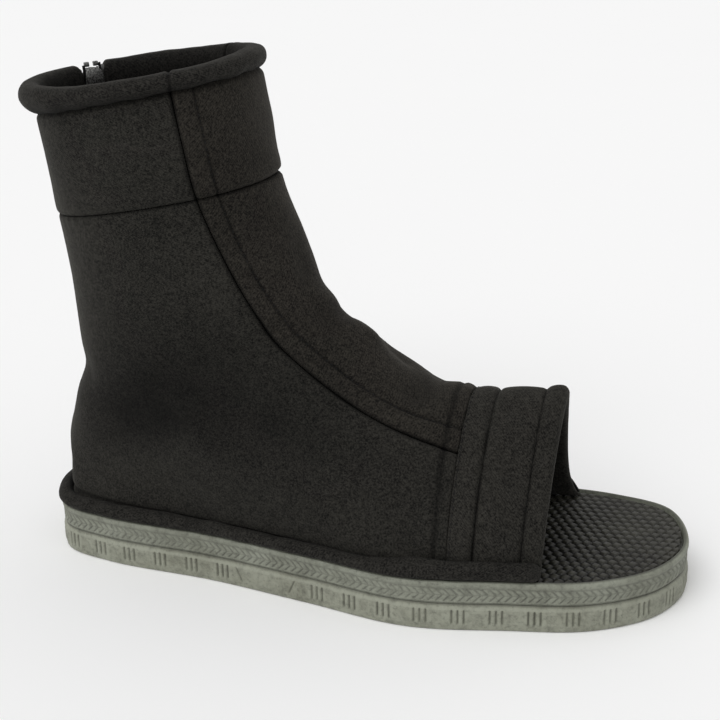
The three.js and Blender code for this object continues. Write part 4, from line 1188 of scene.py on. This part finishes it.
def outsole_pattern(run, height, length):
    """Groups of three upright grooves between square panels with a raised frame."""
    period = length / round(length / BLOCK_PERIOD)
    place = run % period
    tall = smooth((height - 2.4) / 1.2) * smooth((9.6 - height) / 0.8)
    bars = sum(groove(place - BAR_START - k * BAR_SPACING, 0.32, 0.6) for k in range(BARS)) * tall
    x, z = place - PANEL_MIDDLE[0], height - PANEL_MIDDLE[1]
    ring = np.maximum(np.abs(x), np.abs(z))
    frame_line = groove(ring - 2.3, 0.3, 0.3)
    hatch = groove(wave(x + z, 1.3), 0.22, 0.4) * (1 - smooth((ring - 1.7) / 0.3))
    from_plain = run - PLAIN_AT * length
    slants = sum(groove(from_plain + s * (12.5 + 0.45 * (height - 6)), 0.35, 0.3) for s in (-1, 1)) * tall
    plain = np.abs(from_plain) < PLAIN_HALF_LENGTH
    relief = np.where(plain, -0.5 * slants, -0.8 * bars + 0.15 * frame_line - 0.15 * hatch)
    # painted highlight on the ridges between the grooves
    edges = sum(bell(place - BAR_START - (k + 0.5) * BAR_SPACING, 0.5) for k in range(-1, BARS)) * tall
    tint = np.where(plain, 0.5 * slants, 0.75 * bars - 0.4 * edges + 0.2 * hatch)
    worn = 0.75 + 0.25 * np.sin(run / 23) * np.sin(run / 7.1 + height / 3)
    # painted highlight along the lower band's top edge, near a height of 9.8
    tint = tint * worn + 0.5 * bell(height - 11.2, 0.45) - 0.5 * bell(height - 9.8, 0.6)
    return relief, np.clip(tint, -1, 1)


def midsole():
    low, rim = GROOVE_HEIGHT + GAP, RIM_HEIGHT
    side = dense([(low, 0.6), (low + 0.8, 0), (rim - 1.4, 0), (rim - 0.4, 0.25), (rim, 1)])
    inner = [(rim - 0.1, FOOTBED_INSET - 0.2), (rim - 0.5, FOOTBED_INSET), (17.6, FOOTBED_INSET)]
    wall, tint = sole_wall([*side, *inner], midsole_pattern)
    make_piece("midsole", *wall, SOLE_FOAM, tint=tint)


def outsole():
    low_edge = [(1.3, 5.2), (0.5, 4.6), (0, 4.2), (0, 0.9)]
    side = dense([(0.15, 0.4), (0.6, -0.1), (3, -0.5), (9.2, -0.5), (10.2, 0.2), (GROOVE_HEIGHT, 0.5)])
    wall, tint = sole_wall([*low_edge, *side], outsole_pattern)
    points, faces = combine([wall, tread()])
    make_piece("outsole", points, faces, SOLE_RUBBER, tint=np.pad(tint, (0, len(points) - tint.size)))


TREAD_PITCH = 7.2


def half_widths(x, inset):
    """Lowest and highest y of the outline, moved inwards, at lengths x along the sole."""
    ring = outline(inset, np.linspace(0, 1, 3000, endpoint=False))[0]
    edges = []
    front, back = ring[:, 0].argmax(), ring[:, 0].argmin()
    for first, last in ((back, front), (front, back)):
        stretch = np.arange(first, last if last > first else last + len(ring)) % len(ring)
        part = ring[stretch]
        order = np.argsort(part[:, 0])
        edges.append(np.interp(x, part[order, 0], part[order, 1]))
    return np.minimum(*edges), np.maximum(*edges)


def tread():
    """Zigzag bars across the bottom."""
    parts = []
    for x in np.arange(12, SOLE_LENGTH - 10, TREAD_PITCH):
        low, high = (edge[0] for edge in half_widths(np.array([x]), 6.5))
        y = np.linspace(low, high, max(int((high - low) / 2), 2))
        zigzag = 2.2 * (2 * np.abs((y / 12) % 1 - 0.5) - 0.5)
        sections = [np.stack([x + zigzag + dx, y, np.full(len(y), z)], 1)
                    for dx, z in ((-1.9, 1.5), (-1.6, 0.05), (1.6, 0.05), (1.9, 1.5))]
        parts.append(loft(np.stack(sections, 1)))
    return combine(parts)


BRICK = (4.4, 3.4)  # length and width
BRICK_SLANT = math.radians(62)
BRICK_HEIGHT = 1.0
FOOTBED_FOOT = 19.1


def basket_weave(x, y):
    """Height (0 to 1) of a footbed embossed with small bricks laid like a basket weave."""
    u = x * math.cos(BRICK_SLANT) + y * math.sin(BRICK_SLANT)
    v = -x * math.sin(BRICK_SLANT) + y * math.cos(BRICK_SLANT)
    row = np.floor(v / BRICK[1])
    along = (u + row * BRICK[0] / 2) % BRICK[0]
    up = v % BRICK[1]
    from_end = np.minimum(along, BRICK[0] - along)
    from_side = np.minimum(up, BRICK[1] - up)
    crown = 1 - 1.2 * (up / BRICK[1] - 0.5) ** 2 - 0.8 * (along / BRICK[0] - 0.5) ** 2
    return smooth(from_end / 1.1) * smooth(from_side / 0.7 + 0.25) * (0.5 + 0.5 * crown)


def footbed():
    """Bricks over its whole top, with an edge that is flat against the rim."""
    inset = FOOTBED_INSET + GAP
    angle = np.linspace(0.012, math.pi - 0.012, 620)
    x_low, x_high = inset, SOLE_LENGTH - inset
    x = mix(x_low, x_high, (1 - np.cos(angle)) / 2)
    low, high = (edge[:, None] for edge in half_widths(x, inset))
    y = mix(low, high, np.linspace(0, 1, 200))
    x = np.broadcast_to(x[:, None], y.shape)
    from_edge = np.minimum(np.minimum(y - low, high - y), np.minimum(x - x_low, x_high - x))
    bricks = basket_weave(x, y) * smooth((from_edge - 0.3) / 1.2)
    top = np.stack([x, y, FOOTBED_TOP - BRICK_HEIGHT + 0.95 * bricks], -1)
    under = np.stack([x, y, np.full(x.shape, FOOTBED_FOOT)], -1)
    # lighter towards the toes: painted light with some dust, the hem end left in painted shade
    toe_light_and_dust = smooth((x - 215 + 0.5 * y) / 60)  # towards the toes
    tint = np.clip(1.2 * (1 - bricks) ** 0.6 * mix(1, 0.55, toe_light_and_dust) - 0.5 * toe_light_and_dust, -1, 1)
    shell("footbed", under, top, FOOTBED_RUBBER, tint=(np.ones(tint.shape), tint))


# ---- zip

CHAIN_DEPTH = (ZIP_TAPE[0] + ZIP_TAPE[1]) / 2
ZIP_RISE = 13.5
CHAIN_LENGTH = 98.5
TOOTH_PITCH = 4
STOP_LENGTH = 2
SLIDER_LENGTH = 9.6
SLIDER_MIDDLE = -STOP_LENGTH - GAP - 0.2 - SLIDER_LENGTH / 2  # along the chain, from its top
CORD_MIDDLE = 2.55  # from the middle of the chain to the middle of the cord
TAPE_START = 3.3  # from the middle of the chain to the tape's straight edge
PULL_OUT = 3.3  # the pull's axle stands this far out of the chain's plane
X, Y, Z = np.eye(3)
ZIP_UP = unit(ZIP_TOP - ZIP_END)
ZIP_OUT = upper_frame(np.array(ZIP_END_LOOP / 2), np.array(ZIP_TURN))[1]
ZIP_OUT = unit(ZIP_OUT - (ZIP_OUT @ ZIP_UP) * ZIP_UP)
ZIP_SIDE = np.cross(ZIP_OUT, ZIP_UP)
CHAIN_TOP = ZIP_TOP + ZIP_UP * ZIP_RISE - ZIP_OUT * CHAIN_DEPTH


def in_zip(points):
    """From the zip's own frame (x towards the toes, y out of the boot, z up) to the boot's."""
    return CHAIN_TOP + points[..., :1] * ZIP_SIDE + points[..., 1:2] * ZIP_OUT + points[..., 2:] * ZIP_UP


def zip_part(name, parts, body="boot"):
    points, faces = combine(parts)
    make_piece(name, in_zip(points), faces, ZIP_METAL, body)


def on_side(side, near, far):
    return (-far, -near) if side > 0 else (near, far)


def zip_teeth(name, side):
    """A cord along the tape's edge, and teeth that clasp it, each with a small nose."""
    start = -STOP_LENGTH - GAP
    z = np.linspace(-CHAIN_LENGTH, start, 60)
    cord = np.stack([0 * z - side * CORD_MIDDLE, 0 * z, z], 1)
    parts = [tube(cord, X, Y, 0.45, 0.6, 10)]
    stagger = 0 if side > 0 else TOOTH_PITCH / 2
    points, faces = combine([box(on_side(side, 0.75, 2.4), (-0.95, 0.95), (-2, 0), 0.3),
                             box(on_side(side, 0.42, 0.9), (-0.5, 0.5), (-1.5, -0.5), 0.15),
                             box(on_side(side, 2.0, 2.75), (-0.8, 0.8), (-1.6, -0.4), 0.2)])
    for i in range(int((CHAIN_LENGTH + start - TOOTH_PITCH) / TOOTH_PITCH)):
        parts.append((points + Z * (start - 0.4 - stagger - i * TOOTH_PITCH), faces))
    zip_part(name, parts)


def top_stop(name, side):
    zip_part(name, [box(on_side(side, 1, 3), (-0.95, 0.95), (-STOP_LENGTH, 0), 0.3)])


def zip_slider():
    """Two waisted plates with side rails, joined by a post, and a bail for the pull."""
    plate_start, plate_end = 1.3, 2.3
    half, width = SLIDER_LENGTH / 2, 3.9
    arc = [(width * 0.95 * math.cos(a), half - width * 0.6 + width * 0.95 * math.sin(a) * 0.68)
           for a in np.linspace(0.25, math.pi - 0.25, 10)]
    corners = [(-width * 0.7, -half), (width * 0.7, -half), (width, half * 0.2), *arc, (-width, half * 0.2)]
    parts = [prism(corners, plate_start, plate_end, 0.3), prism(corners, -plate_end, -plate_start, 0.3),
             box((-0.3, 0.3), (-plate_end + 0.2, plate_end - 0.2), (1, 3.6), 0.1)]
    for side in (1, -1):
        for y in ((0.95, plate_start + 0.3), (-plate_start - 0.3, -0.95)):
            parts.append(box(on_side(side, 3.3, 3.85), y, (1.4 - half, 1.2), 0.15))
    t = np.linspace(0, math.pi, 13)
    bail = np.stack([0 * t, plate_end - 0.35 + 3.0 * np.sin(t) ** 0.6, -2.4 * np.cos(t)], 1)
    parts.append(tube(bail, X, np.cross(X, unit(np.gradient(bail, axis=0))), 0.9, 0.42, 8))
    zip_part("zipper_slider", [(points + Z * SLIDER_MIDDLE, faces) for points, faces in parts], "slider")


def zip_pull():
    """A crossbar under the bail, two arms and a blade with a raised middle."""
    x = np.linspace(-2.2, 2.2, 9)
    bar = tube(np.stack([x, 0 * x, 0 * x], 1), Y, Z, 0.55, 0.55, 12)
    arms = [box(x, (-0.5, 0.5), (-5.2, 0.55), 0.2) for x in ((1.3, 2.2), (-2.2, -1.3))]

    def round_end(radius, height, count):
        angles = np.linspace(math.pi, 2 * math.pi, count)
        return [(radius * math.cos(a), height + radius * math.sin(a)) for a in angles]

    blade = prism([(-2.2, -4.6), *round_end(3.4, -12.6, 13), (2.2, -4.6)], -0.5, 0.5, 0.22)
    raised = prism([(-1.3, -7), *round_end(2.1, -12.4, 9), (1.3, -7)], 0.4, 0.66, 0.1)
    parts = [(points + [0, PULL_OUT, SLIDER_MIDDLE], faces) for points, faces in (bar, *arms, blade, raised)]
    zip_part("zipper_pull", parts, "pull")


def zip_tape(name, side):
    """Woven tape, straight beside the teeth and narrower between the collar's ends."""
    rows = np.concatenate([np.linspace(-1, 0, 8)[:-1], np.linspace(0, ZIP_END_LOOP, 90)])
    shares = np.linspace(0, 1, 12)
    loop = np.broadcast_to(np.maximum(rows, 0)[:, None], (len(rows), len(shares)))
    wide = mix(4.5, 12, smooth(rows / 0.05))[:, None]
    away = mix(TAPE_START, wide, shares)
    points, out = upper_frame(loop, slit_turn(side, away, loop))
    lift = np.where(rows < 0, -rows * (ZIP_RISE - 1), 0)[:, None, None]
    points = points + ZIP_UP * lift
    layers = []
    for depth in ZIP_TAPE:
        at = points - out * depth
        local = (at[:, 0] - CHAIN_TOP) @ np.stack([ZIP_SIDE, ZIP_OUT, ZIP_UP], 1)
        local[:, 0] = -side * TAPE_START
        local[:, 1] = CHAIN_DEPTH - depth
        at[:, 0] = in_zip(local)
        layers.append(at)
    shell(name, *layers, ZIP_CLOTH, np.stack(cloth_lengths(layers[0]), -1))


def zip_fastener():
    for make, kind in ((zip_tape, "tape"), (zip_teeth, "teeth"), (top_stop, "top_stop")):
        for side, end in ((-1, "front"), (1, "rear")):
            make(f"zipper_{kind}_{end}", side)
    top = -CHAIN_LENGTH - GAP
    zip_part("zipper_bottom_stop", [box((-3, 3), (-0.95, 0.95), (top - STOP_LENGTH, top), 0.3)])
    zip_slider()
    zip_pull()


# ---- build the boot

outsole()
midsole()
footbed()
rand()
stitching(upper_panels())
linings()
toe_band()
collar()
zip_fastener()

INNER_LOOKS = {
    "lasting_board": fibre_look("board", (0.2, 0.18, 0.15), (0.3, 0.28, 0.24), 900),
    "collar_foam": fibre_look("foam", (0.06, 0.06, 0.058), (0.1, 0.1, 0.097), 1400),
    "heel_counter": fibre_look("stiffener", (0.07, 0.068, 0.063), (0.11, 0.105, 0.1), 500),
    "toe_elastic": fibre_look("elastic", (0.012, 0.012, 0.012), (0.03, 0.03, 0.03), 1200),
}
for name, look in INNER_LOOKS.items():
    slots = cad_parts[name].data.materials
    slots.clear()
    slots.append(look)

# ---- floor, light and camera


def floor():
    mesh = bpy.data.meshes.new("floor")
    corners = [(30 * x, 30 * y, 0) for x, y in ((-1, -1), (1, -1), (1, 1), (-1, 1))]
    mesh.from_pydata(corners, [], [(0, 1, 2, 3)])
    look = Look("floor")
    colour = look.blend(look.noise(3), (0.982, 0.982, 0.982), (0.99, 0.99, 0.99))
    mesh.materials.append(look.finish({"Base Color": colour, "Roughness": 0.95, "Specular IOR Level": 0.1}))
    link("floor", mesh)


def lights():
    world = bpy.data.worlds.new("studio")
    world.use_nodes = True
    bpy.context.scene.world = world
    background = world.node_tree.nodes["Background"]
    background.inputs["Color"].default_value = (1, 1, 1, 1)
    background.inputs["Strength"].default_value = 0.62
    sun = bpy.data.lights.new("key", "SUN")
    sun.energy = 1.3
    sun.angle = math.radians(50)
    link("key", sun).rotation_euler = Vector((-0.35, -0.75, 1.1)).to_track_quat("Z", "Y").to_euler()
    bpy.context.scene.view_settings.view_transform = "Standard"


def camera():
    eye = Vector((0.1515, -0.487, 0.280))
    yaw, pitch, roll = math.radians(-17.13), math.radians(20.34), math.radians(-1.27)
    forward = Vector((math.sin(yaw) * math.cos(pitch), math.cos(yaw) * math.cos(pitch), -math.sin(pitch)))
    right = forward.cross(Vector((0, 0, 1))).normalized()
    up = right.cross(forward)
    rolled_right = right * math.cos(roll) + up * math.sin(roll)
    rolled_up = up * math.cos(roll) - right * math.sin(roll)
    data = bpy.data.cameras.new("camera")
    data.lens = 65.8
    data.sensor_width = 36
    made = link("camera", data)
    turn = Matrix((rolled_right, rolled_up, -forward)).transposed()
    made.matrix_world = Matrix.Translation(eye) @ turn.to_4x4()
    bpy.context.scene.camera = made


floor()
lights()
camera()
